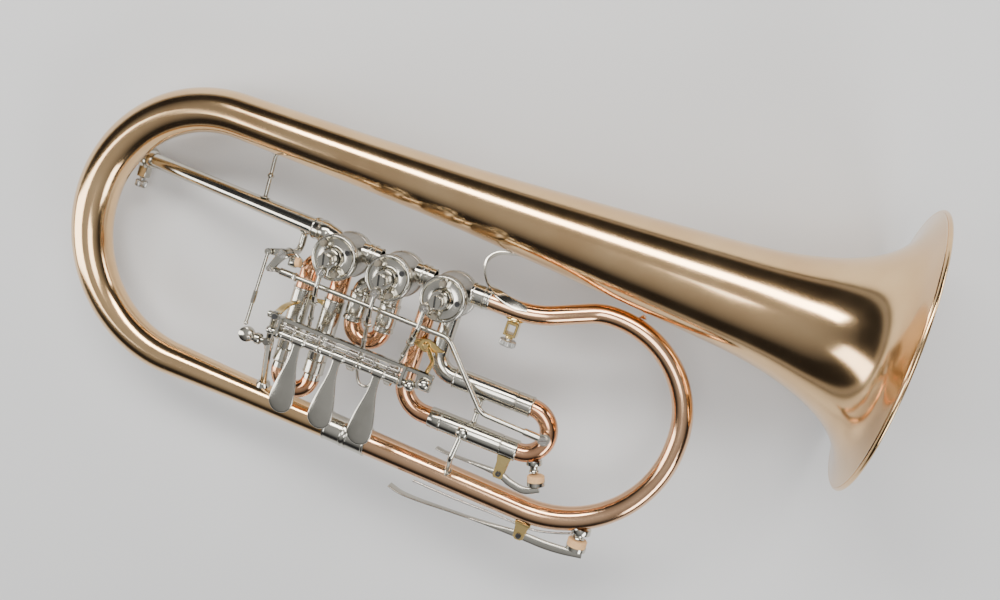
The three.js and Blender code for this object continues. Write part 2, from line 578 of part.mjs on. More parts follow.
// ---- Third-slide trigger -------------------------------------------------------------------------------------------

const [crankX, crankY] = CRANK;
const saddle = pipeAt(crankX);
add('trigger_post', join(
  sweep(route([[crankX, saddle[1] - 5.6, saddle[2]], [crankX, crankY, saddle[2], 4],
    [crankX, crankY, 27.4]], 4), 2, 0, 10),
  sweep(route([[crankX, crankY, 21], [-305, crankY - 3.5, 21, 3], [-305, -62, 26.8]], 4),
    1.2, 0, 8)), NICKEL);
add('trigger_bumper', rod([-308, -61.5, 30.4], [-303.6, -60.4, 30.4], 2.6, 14), CORK);
const crankPin = [crankX - 5, crankY - 9.8];
const crankLinkPin = [crankX - 9.5, crankY - 2];
add('trigger_crank', join(
  rod([crankX, crankY, 27.7], [crankX, crankY, 35], 3.2, 16),
  sweep([v(crankX, crankY, 34.2), v(...crankPin, 34.2)], 1.5, 0, 8),
  sweep([v(crankX, crankY, 29.4), v(...crankLinkPin, 29.4)], 1.4, 0, 8),
  rod([...crankPin, 33.2], [...crankPin, 36.4], 2.1, 12),
  rod([...crankLinkPin, 28], [...crankLinkPin, 31], 2, 12)), NICKEL);
add('trigger_rod', join(
  sweep(route([
    [crankPin[0], TRIGGER_ROD_Y, TRIGGER_ROD_Z], [-213, -70, TRIGGER_ROD_Z, 9],
    [-184, -102.5, 27.5, 9], [THIRD_BOW_X - 1, -104.5, 23.6],
  ], 5), 1.2, 0, 10),
  rod([crankPin[0] + 4, TRIGGER_ROD_Y, TRIGGER_ROD_Z],
    [crankPin[0] + 12, TRIGGER_ROD_Y - 0.07, TRIGGER_ROD_Z], 1.8, 12),
  ball([THIRD_BOW_X - 1, -104.5, 23.2], 2.9, 12)), STEEL);
const linkLow = [THUMB_X - 3, THUMB[0] + 8, THUMB[1] + 7];
add('trigger_link', join(
  rod([...crankLinkPin, 31.4], [...crankLinkPin, 33], 1.9, 12),
  rod([crankLinkPin[0], crankLinkPin[1], 32.2], linkLow, 1, 8)), NICKEL);
add('thumb_lever', join(
  rod([THUMB_X - 5, ...THUMB], [THUMB_X - 0.5, ...THUMB], 4, 18),
  rod([THUMB_X - 1, ...THUMB], [THUMB_X + 2.5, ...THUMB], 2.7, 14),
  rod([THUMB_X + 2, ...THUMB], [THUMB_X + 5, ...THUMB], 3.3, 14),
  rod([THUMB_X + 1, ...THUMB], [THUMB_X + 1, THUMB[0] + 1.2, THUMB[1] + 7], 1.1, 8)), NICKEL);

// ---- The whole instrument, lying as on a table --------------------------------------------------------------------------

instrument.rotation.y = LIE_PITCH;
instrument.updateMatrixWorld(true);
const reach = new THREE.Box3().setFromObject(instrument, true);
const middle = reach.getCenter(v(0, 0, 0));
instrument.position.set(-middle.x, -middle.y, -reach.min.z);
const flugelhorn = new THREE.Group();
flugelhorn.add(instrument);

export default flugelhorn;
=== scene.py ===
"""Looks of the rotary flugelhorn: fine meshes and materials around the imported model."""
import json
from math import asin, atan2, ceil, copysign, cos, degrees, hypot, pi, radians, sin, tan

import bmesh
import bpy
from mathutils import Matrix, Vector


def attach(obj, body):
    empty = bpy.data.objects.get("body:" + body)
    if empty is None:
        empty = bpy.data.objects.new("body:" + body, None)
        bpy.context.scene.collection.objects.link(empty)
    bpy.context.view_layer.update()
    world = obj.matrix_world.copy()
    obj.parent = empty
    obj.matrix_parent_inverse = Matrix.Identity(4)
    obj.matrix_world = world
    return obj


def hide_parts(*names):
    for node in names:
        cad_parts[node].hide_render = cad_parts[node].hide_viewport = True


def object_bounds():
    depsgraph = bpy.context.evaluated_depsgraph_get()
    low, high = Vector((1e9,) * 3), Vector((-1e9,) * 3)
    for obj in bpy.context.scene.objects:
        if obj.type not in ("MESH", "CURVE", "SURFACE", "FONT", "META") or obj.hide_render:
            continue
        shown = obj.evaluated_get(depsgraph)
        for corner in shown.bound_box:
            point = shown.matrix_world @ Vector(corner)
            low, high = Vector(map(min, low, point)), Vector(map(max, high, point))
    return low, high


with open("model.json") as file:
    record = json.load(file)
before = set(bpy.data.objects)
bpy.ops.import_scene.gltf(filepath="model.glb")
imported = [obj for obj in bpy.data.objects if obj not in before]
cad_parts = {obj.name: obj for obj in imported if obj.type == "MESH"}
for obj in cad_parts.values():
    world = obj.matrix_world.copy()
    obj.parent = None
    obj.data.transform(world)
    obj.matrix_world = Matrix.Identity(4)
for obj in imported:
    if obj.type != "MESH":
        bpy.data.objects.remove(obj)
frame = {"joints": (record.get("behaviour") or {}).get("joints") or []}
CAD_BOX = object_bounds()
UP = Vector((0, 0, 1))          # along the valves
ALONG = Vector((1, 0, 0))       # toward the bell's mouth


# ---- Sizes, in millimetres in the instrument's own frame, as in the design

WALL = 0.7
BELL_RADIUS = 76.0
BELL_TAIL_X = -300.0
BOW_X = -374.0
BOW_RADIUS = 74.5
JOINT_X = -258.0
BRANCH_LOW_Y = -154.5
BRANCH_X = -82.0
BRANCH_TOP_Y = -33.0

VALVE_X = (-287.0, -255.0, -223.0)
VALVE_Y = -51.5
CASING_RADIUS = 12.3
CASING_LOW_Z = 3.5
CASING_TOP_Z = 26.7
PLATE_TOP_Z = 30.0
BORE_Z = 15.0
PORT_Y = -45.5
TUBE_RADIUS = 5.2
SLEEVE_RADIUS = 5.9
ARM_Z = 34.2
ARM_TOP_Z = ARM_Z + 2.6
STOP_ARM_LENGTH = 8.0
BUMPER_REACH = 9.0
STOP_ARM_ANGLE = tuple(radians(a) for a in (262, 262, 228))

HINGE_Y = -98.3
HINGE_Z = 41.0
HINGE = (HINGE_Y, HINGE_Z)
HINGE_TUBE_RADIUS = 2.1
AXLE_RADIUS = 1.2
LEVER_X = (-287.5, -264.0, -240.5)
LEVER_PITCH = 23.5
LINK_FOOT_X = (-290.5, -257.8, -235.8)
LINK_FOOT_Y = -96.0
LINK_FOOT_Z = 23.5
LINK_Z = 38.6
LINK_REACH = (8.0, 8.0, 11.5)
PADDLE_Y = -132.6
PADDLE_RADIUS = 6.9

FIRST_SLIDE_X = (-303.0, -284.0)
SECOND_SLIDE_X = (-270.6, -252.8)
THIRD_SLIDE_Y = (-92.5, -118.5)
SLIDE_TUBE_RADIUS = 4.8
CROOK_RADIUS = 4.95
BOW_STEPS = 36
THIRD_BOW_X = -147.0
THIRD_KEY_PIVOT = (-165.5, -133.5)
BRANCH_KEY_PIVOT = (-145.0, -168.2)
KEY_GAP = 2.25
LYRE_X = -185.5

CRANK = (-313.0, -58.5)
TRIGGER_ROD_Y = -69.0
TRIGGER_ROD_Z = 29.2
THUMB = (-317.0, -108.0, 33.0)
PIPE_END = Vector((-303.0, -42.4, 14.6))
PIPE_START = Vector((-427.5, -44.6, -17.3))
RECEIVER_X = -456.0
CLAMP_X = -434.0


# ---- The instrument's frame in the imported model

JOINTS = {joint["name"]: joint for joint in frame["joints"]}


def instrument_matrix():
    """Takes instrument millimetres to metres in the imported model's frame."""
    x_axis = Vector(JOINTS["lever_1_press"]["axis"]).normalized()
    z_axis = Vector(JOINTS["rotor_1_turn"]["axis"]).normalized()
    y_axis = z_axis.cross(x_axis).normalized()
    turn = Matrix((x_axis, y_axis, z_axis)).transposed().to_4x4()
    pivot = Vector((LEVER_X[0], *HINGE))
    origin = Vector(JOINTS["lever_1_press"]["pos_m"]) - turn @ (pivot / 1000)
    return Matrix.Translation(origin) @ turn @ Matrix.Scale(0.001, 4)


PLACE = instrument_matrix()


# ---- Camera, lights and floor

CAMERA_AT = (-100.3, 65.3, 569.4)     # millimetres in the instrument's frame
CAMERA_AIM = (-0.167, -0.190, -0.967)
CAMERA_RIGHT = (0.922, 0.317, -0.221)
CAMERA_LENS = 38.53
SENSOR_WIDTH = 36

FLOOR_REACH = 30                      # metres
FLOOR_GAP = 0.0004
SKY_STRENGTH = 0.55
# Each light: name, place in metres, size, watts and colour.
LIGHTS = (("key", (-0.25, 0.85, 1.1), (1.3, 0.3), 22, (1, 0.98, 0.95)),
    ("top", (0.1, 0.05, 1.3), (0.5, 0.5), 5, (1, 1, 1)),
    ("fill", (0.95, -0.75, 0.8), (0.7, 0.5), 9, (0.95, 0.97, 1)),
    ("side", (-1.0, -0.35, 0.6), (0.35, 0.9), 7, (1, 1, 1)),
    ("low", (0.8, 0.65, 0.3), (0.5, 0.25), 3, (1, 1, 1)))
# The sky's colour by the sine of the height: a pale horizon, a dark band, a bright zenith.
SKY = ((0.08, (0.75, 0.75, 0.755)), (0.15, (0.05, 0.05, 0.055)), (0.5, (0.05, 0.05, 0.055)),
    (0.97, (0.95, 0.96, 0.98)))


def add_object(name, data):
    made = bpy.data.objects.new(name, data)
    bpy.context.scene.collection.objects.link(made)
    return made


def make_camera():
    camera = add_object("camera", bpy.data.cameras.new("camera"))
    camera.data.lens = CAMERA_LENS
    camera.data.sensor_width = SENSOR_WIDTH
    back = -Vector(CAMERA_AIM).normalized()
    right = Vector(CAMERA_RIGHT)
    right = (right - back * right.dot(back)).normalized()
    turn = Matrix((right, back.cross(right), back)).transposed().to_4x4()
    tilt = PLACE.to_quaternion().to_matrix().to_4x4()
    camera.matrix_world = Matrix.Translation(PLACE @ Vector(CAMERA_AT)) @ tilt @ turn
    camera.data.clip_start = 0.01
    bpy.context.scene.camera = camera


def area_light(name, location, target, size, watts, colour):
    data = bpy.data.lights.new(name, "AREA")
    data.shape = "RECTANGLE"
    data.size, data.size_y = size
    data.energy = watts
    data.color = colour
    light = add_object(name, data)
    light.location = location
    aim = target - Vector(location)
    light.rotation_euler = aim.to_track_quat("-Z", "Y").to_euler()


def make_floor(middle, height):
    floor = add_object("floor", bpy.data.meshes.new("floor"))
    work = bmesh.new()
    bmesh.ops.create_grid(work, x_segments=2, y_segments=2, size=FLOOR_REACH)
    work.to_mesh(floor.data)
    work.free()
    floor.location = (middle.x, middle.y, height)
    floor.data.materials.append(floor_material())


def set_ramp(ramp, stops):
    elements = ramp.color_ramp.elements
    while len(elements) < len(stops):
        elements.new(0.5)
    for element, (position, colour) in zip(elements, stops):
        element.position = position
        element.color = (*colour, 1)


def make_sky():
    world = bpy.data.worlds.new("studio")
    world.use_nodes = True
    tree = world.node_tree
    background = tree.nodes["Background"]
    ramp = tree.nodes.new("ShaderNodeValToRGB")
    split = tree.nodes.new("ShaderNodeSeparateXYZ")
    where = tree.nodes.new("ShaderNodeTexCoord")
    set_ramp(ramp, SKY)
    tree.links.new(where.outputs["Generated"], split.inputs[0])
    tree.links.new(split.outputs["Z"], ramp.inputs[0])
    tree.links.new(ramp.outputs[0], background.inputs["Color"])
    background.inputs["Strength"].default_value = SKY_STRENGTH
    bpy.context.scene.world = world


def make_studio():
    low, high = CAD_BOX
    middle = (low + high) / 2
    make_floor(middle, low.z - FLOOR_GAP)
    for name, location, size, watts, colour in LIGHTS:
        area_light(name, location, middle, size, watts, colour)
    make_sky()


# ---- Materials

class Shader:
    """A node material under construction."""

    def __init__(self, name):
        self.material = bpy.data.materials.new(name)
        self.material.use_nodes = True
        self.tree = self.material.node_tree
        self.surface = self.tree.nodes["Principled BSDF"]
        self.where = self.tree.nodes.new("ShaderNodeTexCoord").outputs["Object"]

    def node(self, kind, **inputs):
        made = self.tree.nodes.new(kind)
        for key, value in inputs.items():
            socket = made.inputs[key.replace("_", " ")]
            if isinstance(value, bpy.types.NodeSocket):
                self.tree.links.new(value, socket)
            else:
                socket.default_value = value
        return made

    def set(self, **values):
        for key, value in values.items():
            self.surface.inputs[key.replace("_", " ")].default_value = value

    def link(self, output, name):
        self.tree.links.new(output, self.surface.inputs[name])

    def noise(self, scale, detail, roughness=0.55):
        return self.node("ShaderNodeTexNoise", Vector=self.where, Scale=scale, Detail=detail,
            Roughness=roughness).outputs["Fac"]

    def ramp(self, value, stops):
        made = self.node("ShaderNodeValToRGB", Fac=value)
        set_ramp(made, stops)
        return made.outputs["Color"]

    def mottle(self, value, dark, light, low=0.3, high=0.7):
        """Base colour drifting between two colours."""
        self.link(self.ramp(value, [(low, dark), (high, light)]), "Base Color")

    def spread(self, value, low, high):
        return self.node("ShaderNodeMapRange", Value=value, To_Min=low,
            To_Max=high).outputs["Result"]

    def bump(self, height, strength, distance):
        made = self.node("ShaderNodeBump", Height=height, Strength=strength, Distance=distance)
        self.link(made.outputs["Normal"], "Normal")


def polished_metal(name, light, dark, roughness, lacquer, tarnish=0.0):
    """Buffed metal: faint colour drift, smudged gloss and fine buffing marks."""
    shader = Shader(name)
    colour = shader.ramp(shader.noise(28, 5), [(0.3, dark), (0.72, light)])
    if tarnish:
        mask = shader.ramp(shader.noise(140, 6, 0.65), [(0.6, (0, 0, 0)), (0.78, (tarnish,) * 3)])
        mix = shader.tree.nodes.new("ShaderNodeMix")
        mix.data_type = "RGBA"
        shader.tree.links.new(mask, mix.inputs[0])
        shader.tree.links.new(colour, mix.inputs[6])
        mix.inputs[7].default_value = (*[c * 0.55 for c in dark], 1)
        colour = mix.outputs[2]
    shader.link(colour, "Base Color")
    smudge = shader.noise(55, 6, 0.6)
    shader.link(shader.spread(smudge, roughness * 0.7, roughness * 1.45), "Roughness")
    shader.bump(shader.noise(900, 3, 0.6), 0.04, 0.00006)
    shader.set(Metallic=1.0, Coat_Weight=lacquer, Coat_Roughness=0.06)
    return shader.material


def cork_material(name, light, dark):
    shader = Shader(name)
    grains = shader.node("ShaderNodeTexVoronoi", Vector=shader.where, Scale=1400.0)
    shader.mottle(shader.noise(2200, 5), dark, light, 0.32, 0.6)
    shader.set(Roughness=0.82)
    shader.bump(grains.outputs["Distance"], 0.5, 0.00012)
    return shader.material


def knurled_metal(name, light, dark):
    shader = Shader(name)
    shader.mottle(shader.noise(300, 4), dark, light)
    shader.link(shader.spread(shader.noise(700, 4), 0.2, 0.38), "Roughness")
    shader.bump(shader.noise(3500, 2), 0.25, 0.00005)
    shader.set(Metallic=1.0)
    return shader.material


def felt_material(name, light, dark):
    shader = Shader(name)
    shader.mottle(shader.noise(2600, 6), dark, light)
    shader.set(Roughness=0.95)
    shader.bump(shader.noise(4200, 4), 0.6, 0.0001)
    return shader.material


def floor_material():
    shader = Shader("studio_floor")
    shader.mottle(shader.noise(3, 3), (0.66, 0.66, 0.655), (0.70, 0.70, 0.695))
    shader.set(Roughness=0.7)
    return shader.material


GOLD = polished_metal("gold_brass", (0.84, 0.57, 0.30), (0.74, 0.47, 0.23), 0.13, 0.3)
ROSE = polished_metal("rose_brass", (0.80, 0.44, 0.25), (0.69, 0.35, 0.18), 0.14, 0.3)
NICKEL = polished_metal("nickel_silver", (0.62, 0.59, 0.51), (0.49, 0.465, 0.40), 0.15, 0.1)
YELLOW = polished_metal("yellow_brass", (0.84, 0.64, 0.28), (0.72, 0.50, 0.18), 0.18, 0.3,
    tarnish=0.5)
STEEL = polished_metal("spring_steel", (0.62, 0.59, 0.54), (0.46, 0.43, 0.39), 0.24, 0.0)
# Dark steel of the blued screws; the same material is also painted shade, as the dark discs inside
# the hub screws' slots
DARK_STEEL_AND_SLOT_SHADE = polished_metal("blued_screw_and_slot_shade", (0.10, 0.10, 0.10), (0.05, 0.05, 0.05), 0.45, 0.0)
SATIN = polished_metal("satin_nickel", (0.44, 0.43, 0.39), (0.35, 0.34, 0.31), 0.28, 0.0)
KNURL = knurled_metal("knurled_nickel", (0.55, 0.54, 0.50), (0.38, 0.37, 0.35))
BRANCH = polished_metal("pale_rose_brass", (0.82, 0.51, 0.30), (0.72, 0.42, 0.23), 0.13, 0.3)
CORK = cork_material("tan_cork", (0.82, 0.50, 0.24), (0.68, 0.38, 0.16))
FELT = felt_material("stop_bumper", (0.26, 0.23, 0.17), (0.15, 0.13, 0.10))


# ---- Shapes: every function gives (vertices, faces) in instrument millimetres

SHARP = radians(38)             # edges sharper than this stay sharp
STRAP_SIDES = 20
SPRING_SIDES = 8
STEPS_PER_TURN = 14             # of a coil spring
LONGEST_STEP = 8.0              # along a straight run of a route
FINE_ARC = radians(3)           # between two points in the bend of a wide tube


def frame_across(direction):
    """Two unit vectors square to a direction."""
    direction = Vector(direction).normalized()
    side = UP.cross(direction)
    side = (ALONG if side.length < 0.05 else side).normalized()
    return side, direction.cross(side)


def skin(rings, closed=False):
    """Joins rings of equal size into a surface, with end faces unless it closes on itself."""
    count = len(rings[0])
    vertices = [point for ring in rings for point in ring]
    faces = []
    for i in range(len(rings) if closed else len(rings) - 1):
        a, b = i * count, (i + 1) % len(rings) * count
        for k in range(count):
            n = (k + 1) % count
            faces.append((a + k, a + n, b + n, b + k))
    if not closed:
        faces.append(tuple(reversed(range(count))))
        faces.append(tuple(range((len(rings) - 1) * count, len(rings) * count)))
    return vertices, faces


def heading(points, i):
    """The way a route runs at one of its points."""
    return (points[min(i + 1, len(points) - 1)] - points[max(i - 1, 0)]).normalized()


def rings_along(points, radii, sides):
    """Rings square to a route. The radius may be a function of the point's number."""
    points = [Vector(point) for point in points]
    side, _ = frame_across(heading(points, 0))
    rings = []
    for i, point in enumerate(points):
        ahead = heading(points, i)
        side = (side - ahead * side.dot(ahead)).normalized()
        up = ahead.cross(side)
        radius = radii(i) if callable(radii) else radii
        ring = []
        for k in range(sides):
            angle = 2 * pi * k / sides
            ring.append(point + side * cos(angle) * radius + up * sin(angle) * radius)
        rings.append(ring)
    return rings


def sweep(points, radius, sides=24):
    return skin(rings_along(points, radius, sides))


def pipe(points, radius, wall=WALL, sides=32):
    """An open tube with a wall. The radius may be a function of the point's number."""
    outer = rings_along(points, radius, sides)
    inside = (lambda i: radius(i) - wall) if callable(radius) else radius - wall
    inner = rings_along(points, inside, sides)
    return skin(outer + inner[::-1], closed=True)


def rod(start, end, radius, sides=24, edge=0.15):
    """A straight rod with softened ends."""
    start, end = Vector(start), Vector(end)
    length = (end - start).length
    edge = min(edge, length / 3, radius / 2)
    profile = [(0, 0), (radius - edge, 0), (radius, edge), (radius, length - edge),
        (radius - edge, length), (0, length)]
    return lathe(profile, start, end - start, sides)


def bar(start, end, at, radius, sides=24, edge=0.15):
    """A rod along X at (y, z)."""
    return rod((start, *at), (end, *at), radius, sides, edge)


def upright(at, low, high, radius, sides=24, edge=0.15):
    """A rod along Z at (x, y)."""
    return rod((*at, low), (*at, high), radius, sides, edge)


def lathe(profile, at, axis=UP, sides=32, ripple=0, depth=0.0, closed=False):
    """(radius, height) pairs turned about an axis. A ripple scallops the rim for knurling."""
    at, axis = Vector(at), Vector(axis).normalized()
    side, up = frame_across(axis)
    if ripple:
        sides = ripple * 4
    rim = max(radius for radius, _ in profile) * 0.8
    rings = []
    for radius, height in profile:
        radius = max(radius, 0.002)
        ring = []
        for k in range(sides):
            angle = 2 * pi * k / sides
            dip = depth * (0.5 - 0.5 * cos(angle * ripple)) if ripple else 0
            reach = radius - (dip if radius > rim else 0)
            ring.append(at + axis * height + (side * cos(angle) + up * sin(angle)) * reach)
        rings.append(ring)
    return skin(rings, closed=closed)


def ball(at, radius, sides=24):
    steps = sides // 2
    profile = [(radius * sin(pi * k / steps), -radius * cos(pi * k / steps))
        for k in range(steps + 1)]
    return lathe(profile, at, UP, sides)


def torus(at, axis, radius, wire, sides=64, section=16):
    profile = [(radius + wire * cos(2 * pi * k / section),
                wire * sin(2 * pi * k / section)) for k in range(section)]
    return lathe(profile, at, axis, sides, closed=True)


def plate(outline, low, high, bevel):
    """A flat outline in XY given a thickness and softened edges."""
    count = len(outline)
    points = [Vector((x, y, 0)) for x, y in outline]
    area = sum(points[i - 1].x * points[i].y - points[i].x * points[i - 1].y for i in range(count))
    if area < 0:
        points.reverse()
    normals = []
    for i, point in enumerate(points):
        along = (points[(i + 1) % count] - points[i - 1]).normalized()
        normals.append(Vector((along.y, -along.x, 0)))
    rings = []
    for inset, height in ((bevel, low), (0, low + bevel), (0, high - bevel), (bevel, high)):
        ring = []
        for point, normal in zip(points, normals):
            moved = point - normal * inset
            ring.append(Vector((moved.x, moved.y, height)))
        rings.append(ring)
    return skin(rings)


def turned_plate(outline, thickness, at, x_axis, y_axis, bevel):
    """A plate whose own X and Y lie along two given directions."""
    vertices, faces = plate(outline, 0, thickness, bevel)
    x_axis, y_axis = Vector(x_axis).normalized(), Vector(y_axis).normalized()
    z_axis = x_axis.cross(y_axis)
    at = Vector(at)
    return [at + x_axis * p.x + y_axis * p.y + z_axis * p.z for p in vertices], faces


def slab(low, high, bevel):
    """A box between two corners with softened edges."""
    outline = [(low[0], low[1]), (high[0], low[1]), (high[0], high[1]), (low[0], high[1])]
    soft = []
    for i, (x, y) in enumerate(outline):
        for other in (outline[i - 1], outline[(i + 1) % 4]):
            reach = hypot(other[0] - x, other[1] - y)
            soft.append((x + (other[0] - x) / reach * bevel, y + (other[1] - y) / reach * bevel))
    return plate(soft, low[2], high[2], bevel * 0.7)


def arc(centre, radius, start, end, steps=12):
    """Points of an arc in XY, angles in degrees."""
    made = []
    for k in range(steps + 1):
        angle = radians(start + (end - start) * k / steps)
        made.append((centre[0] + radius * cos(angle), centre[1] + radius * sin(angle)))
    return made


def route(corners, arc_step=radians(6)):
    """Points along straight runs with rounded corners, each corner [x, y, z, radius]."""
    points = [Vector(corners[0][:3])]
    for before, at, after in zip(corners, corners[1:], corners[2:]):
        here = Vector(at[:3])
        into = (here - Vector(before[:3])).normalized()
        out = (Vector(after[:3]) - here).normalized()
        turn = into.angle(out)
        radius = at[3] if len(at) > 3 else 0
        if not radius or turn < 1e-3:
            points.append(here)
            continue
        start = here - into * radius * tan(turn / 2)
        inward = (out - into * cos(turn)).normalized()
        steps = max(3, round(turn / arc_step))
        for k in range(steps + 1):
            angle = turn * k / steps
            points.append(start + into * radius * sin(angle) + inward * radius * (1 - cos(angle)))
    points.append(Vector(corners[-1][:3]))
    return even_out(points)


def even_out(points):
    """Adds points to long straight runs, so that a taper and a bend stay smooth."""
    made = [points[0]]
    for point in points[1:]:
        gap = (point - made[-1]).length
        if gap < 1e-4:
            continue
        pieces = max(1, ceil(gap / LONGEST_STEP))
        start = made[-1]
        made += [start.lerp(point, k / pieces) for k in range(1, pieces + 1)]
    return made


def fractions(points):
    """How far along the route each point is, from 0 to 1."""
    reach = [0.0]
    for a, b in zip(points, points[1:]):
        reach.append(reach[-1] + (b - a).length)
    return [r / reach[-1] for r in reach]


def tapered(points, stations):
    """A radius for each point, from [fraction of the length, radius] stations."""
    along = fractions(points)

    def radius(i):
        for (a, low), (b, high) in zip(stations, stations[1:]):
            if along[i] <= b:
                return low + (high - low) * (along[i] - a) / (b - a)
        return stations[-1][1]
    return radius


def helix(start, end, radius, wire, turns, phase=0.0):
    """A coil spring between two points."""
    start, end = Vector(start), Vector(end)
    side, up = frame_across(end - start)
    steps = turns * STEPS_PER_TURN
    points = []
    for k in range(steps + 1):
        angle = 2 * pi * turns * k / steps + phase
        points.append(start.lerp(end, k / steps) + (side * cos(angle) + up * sin(angle)) * radius)
    return sweep(points, wire, SPRING_SIDES)


def square_off(value, power):
    """A sine or cosine pushed outward, which squares a round section."""
    return copysign(abs(value) ** power, value)


def strap(points, width, thickness, wide_way, power):
    """A flat strap with soft corners. Width and thickness are functions of the way along, from
    0 to 1; wide_way(point) is the way the width lies; a low power gives square corners."""
    points = [Vector(p) for p in points]
    rings = []
    for i, point in enumerate(points):
        ahead = heading(points, i)
        wide = wide_way(point)
        wide = (wide - ahead * wide.dot(ahead)).normalized()
        thin = ahead.cross(wide)
        t = i / (len(points) - 1)
        ring = []
        for k in range(STRAP_SIDES):
            angle = 2 * pi * k / STRAP_SIDES
            ring.append(point + wide * width(t) / 2 * square_off(cos(angle), power)
                        + thin * thickness(t) / 2 * square_off(sin(angle), power))
        rings.append(ring)
    return skin(rings)


def disc(radius, height, low, high, at, axis=UP, sides=32):
    """A turned disc; low and high are its two edges' (width, height)."""
    return lathe([(0, 0), (radius - low[0], 0), (radius, low[1]), (radius, height - high[1]),
            (radius - high[0], height), (0, height)], at, axis, sides)


def slotted_head(at, axis, radius, height, slot=0.5, turn=0.5, dome=0.25):
    """A cheese-head screw: a turned base and two half discs that leave the slot open."""
    at, axis = Vector(at), Vector(axis).normalized()
    side, up = frame_across(axis)
    across = side * cos(turn) + up * sin(turn)
    ahead = axis.cross(across)
    base = lathe([(0, 0), (radius - 0.1, 0), (radius, 0.12), (radius, height * 0.55),
            (0, height * 0.55)], at, axis, 28)
    halves = []
    for sign in (1, -1):
        start = degrees(asin(slot / 2 / radius))
        outline = arc((0, 0), radius, start, 180 - start, 14)
        outline = [(x, y * sign) for x, y in outline]
        halves.append(turned_plate(outline, height * 0.45 + dome * 0.5,
                at + axis * (height * 0.55 - 0.02), across, ahead, min(0.18, radius * 0.15)))
    return [base, *halves]


def flange(at, axis, radius, thickness=0.8, neck=1.6):
    """A small round brace foot with a flared neck."""
    return lathe([(0, 0), (radius - 0.15, 0), (radius, 0.15), (radius, thickness * 0.5),
            (radius * 0.8, thickness), (neck * 1.25, thickness * 1.6), (neck, thickness * 3),
            (0, thickness * 3)], at, axis, 28)


def beaded_tube(start, end, radius, bore, bead=0.35, sides=40):
    """A ferrule: an open sleeve with a raised bead at each end."""
    start, end = Vector(start), Vector(end)
    length = (end - start).length
    edge = [(radius, 0), (radius + bead * 0.8, 0.2), (radius + bead, 0.7),
        (radius + bead * 0.8, 1.2), (radius, 1.5)]
    outside = edge + [(r, length - h) for r, h in edge[::-1]]
    profile = [(bore, 0), *outside, (bore, length)]
    return lathe(profile, start, end - start, sides, closed=True)


def piece(name, material, shapes, replaces=(), body="root"):
    """One shown object from closed shapes, riding on a body of the model."""
    work = bmesh.new()
    for vertices, faces in shapes:
        made = [work.verts.new(point) for point in vertices]
        for face in faces:
            work.faces.new([made[i] for i in face])
    bmesh.ops.recalc_face_normals(work, faces=work.faces)
    for edge in work.edges:
        if len(edge.link_faces) == 2:
            edge.smooth = edge.calc_face_angle() < SHARP
    for face in work.faces:
        face.smooth = True
    mesh = bpy.data.meshes.new(name)
    work.to_mesh(mesh)
    work.free()
    mesh.transform(PLACE)
    mesh.materials.append(material)
    made = add_object(name, mesh)
    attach(made, body)
    if replaces:
        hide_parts(*replaces)


# ---- Bell, bows and rear branch

BELL_OUTLINE = ((14.6, -300), (16.6, -250), (19.5, -200), (23, -150), (26.8, -100), (30.2, -66),
    (35.6, -42), (42, -25.5), (50, -13.5), (60, -6), (74.4, -1.7))
BOW_LEFT_X = BOW_X - BOW_RADIUS
BOW_LOW_Y = -2 * BOW_RADIUS
JOINT_Y = BOW_LOW_Y + (BRANCH_LOW_Y - BOW_LOW_Y) * (JOINT_X - BOW_X) / (BRANCH_X - 65 - BOW_X)


def catmull(stations, per_span):
    """A smooth curve through the stations."""
    stations = [Vector(s) for s in stations]
    padded = [stations[0] * 2 - stations[1], *stations, stations[-1] * 2 - stations[-2]]
    made = []
    for i in range(1, len(padded) - 2):
        a, b, c, d = padded[i - 1:i + 3]
        for k in range(per_span):
            t = k / per_span
            made.append(0.5 * (2 * b + (c - a) * t + (2 * a - 5 * b + 4 * c - d) * t * t
                               + (3 * b - a - 3 * c + d) * t ** 3))
    made.append(padded[-2])
    return made


def make_bell():
    """The bell and its bow are one drawn tube, so they are one surface here."""
    outline = catmull(BELL_OUTLINE, 8)
    inside = []
    for i, point in enumerate(outline):
        along = heading(outline, i)
        inside.append(point + Vector((-along.y, along.x)) * WALL)
    bow = route([[BELL_TAIL_X, 0, 0], [BOW_LEFT_X, 0, 0, BOW_RADIUS],
            [BOW_LEFT_X, BOW_LOW_Y, 0, BOW_RADIUS], [JOINT_X, JOINT_Y, 0]], FINE_ARC)
    radius = tapered(bow, [(0, 14.6), (0.17, 12.9), (0.45, 12.3), (0.7, 10.2), (0.83, 8.4),
            (1, 7.7)])
    sides = 112

    def bell_rings(points):
        return [rings_along([(p.y, 0, 0), (p.y - 0.01, 0, 0)], p.x, sides)[0] for p in points]
    outer = bell_rings(outline[::-1]) + rings_along(bow, radius, sides)[1:]
    inner = bell_rings(inside[::-1]) + rings_along(bow, lambda i: radius(i) - WALL, sides)[1:]
    piece("bell_and_bow", GOLD, [skin(outer + inner[::-1], closed=True)], ["bell", "main_bow"])
    bead = 1.15
    middle = BELL_RADIUS - bead
    piece("bell_rim", GOLD, [
        torus((-0.35, 0, 0), ALONG, middle, bead, 128, 20),
        lathe([(middle - 1.4, -1.9), (middle - 0.2, -1.9), (middle - 0.2, -0.2),
            (middle - 1.4, -0.9)], (0, 0, 0), ALONG, 128, closed=True)], ["rim_wire"])


def make_wide_ferrule():
    reach = 13.3
    slope = (BRANCH_LOW_Y - BOW_LOW_Y) / (BRANCH_X - 65 - BOW_X)
    start = Vector((JOINT_X - reach, JOINT_Y - reach * slope, 0))
    end = Vector((JOINT_X + reach, JOINT_Y + reach * slope, 0))
    piece("wide_ferrule_band", NICKEL, [
        beaded_tube(start, end, 8.25, 7.4, 0.3, 56),
        beaded_tube(start.lerp(end, 0.42), start.lerp(end, 0.58), 8.4, 7.8, 0.15, 56)],
        ["wide_ferrule"])


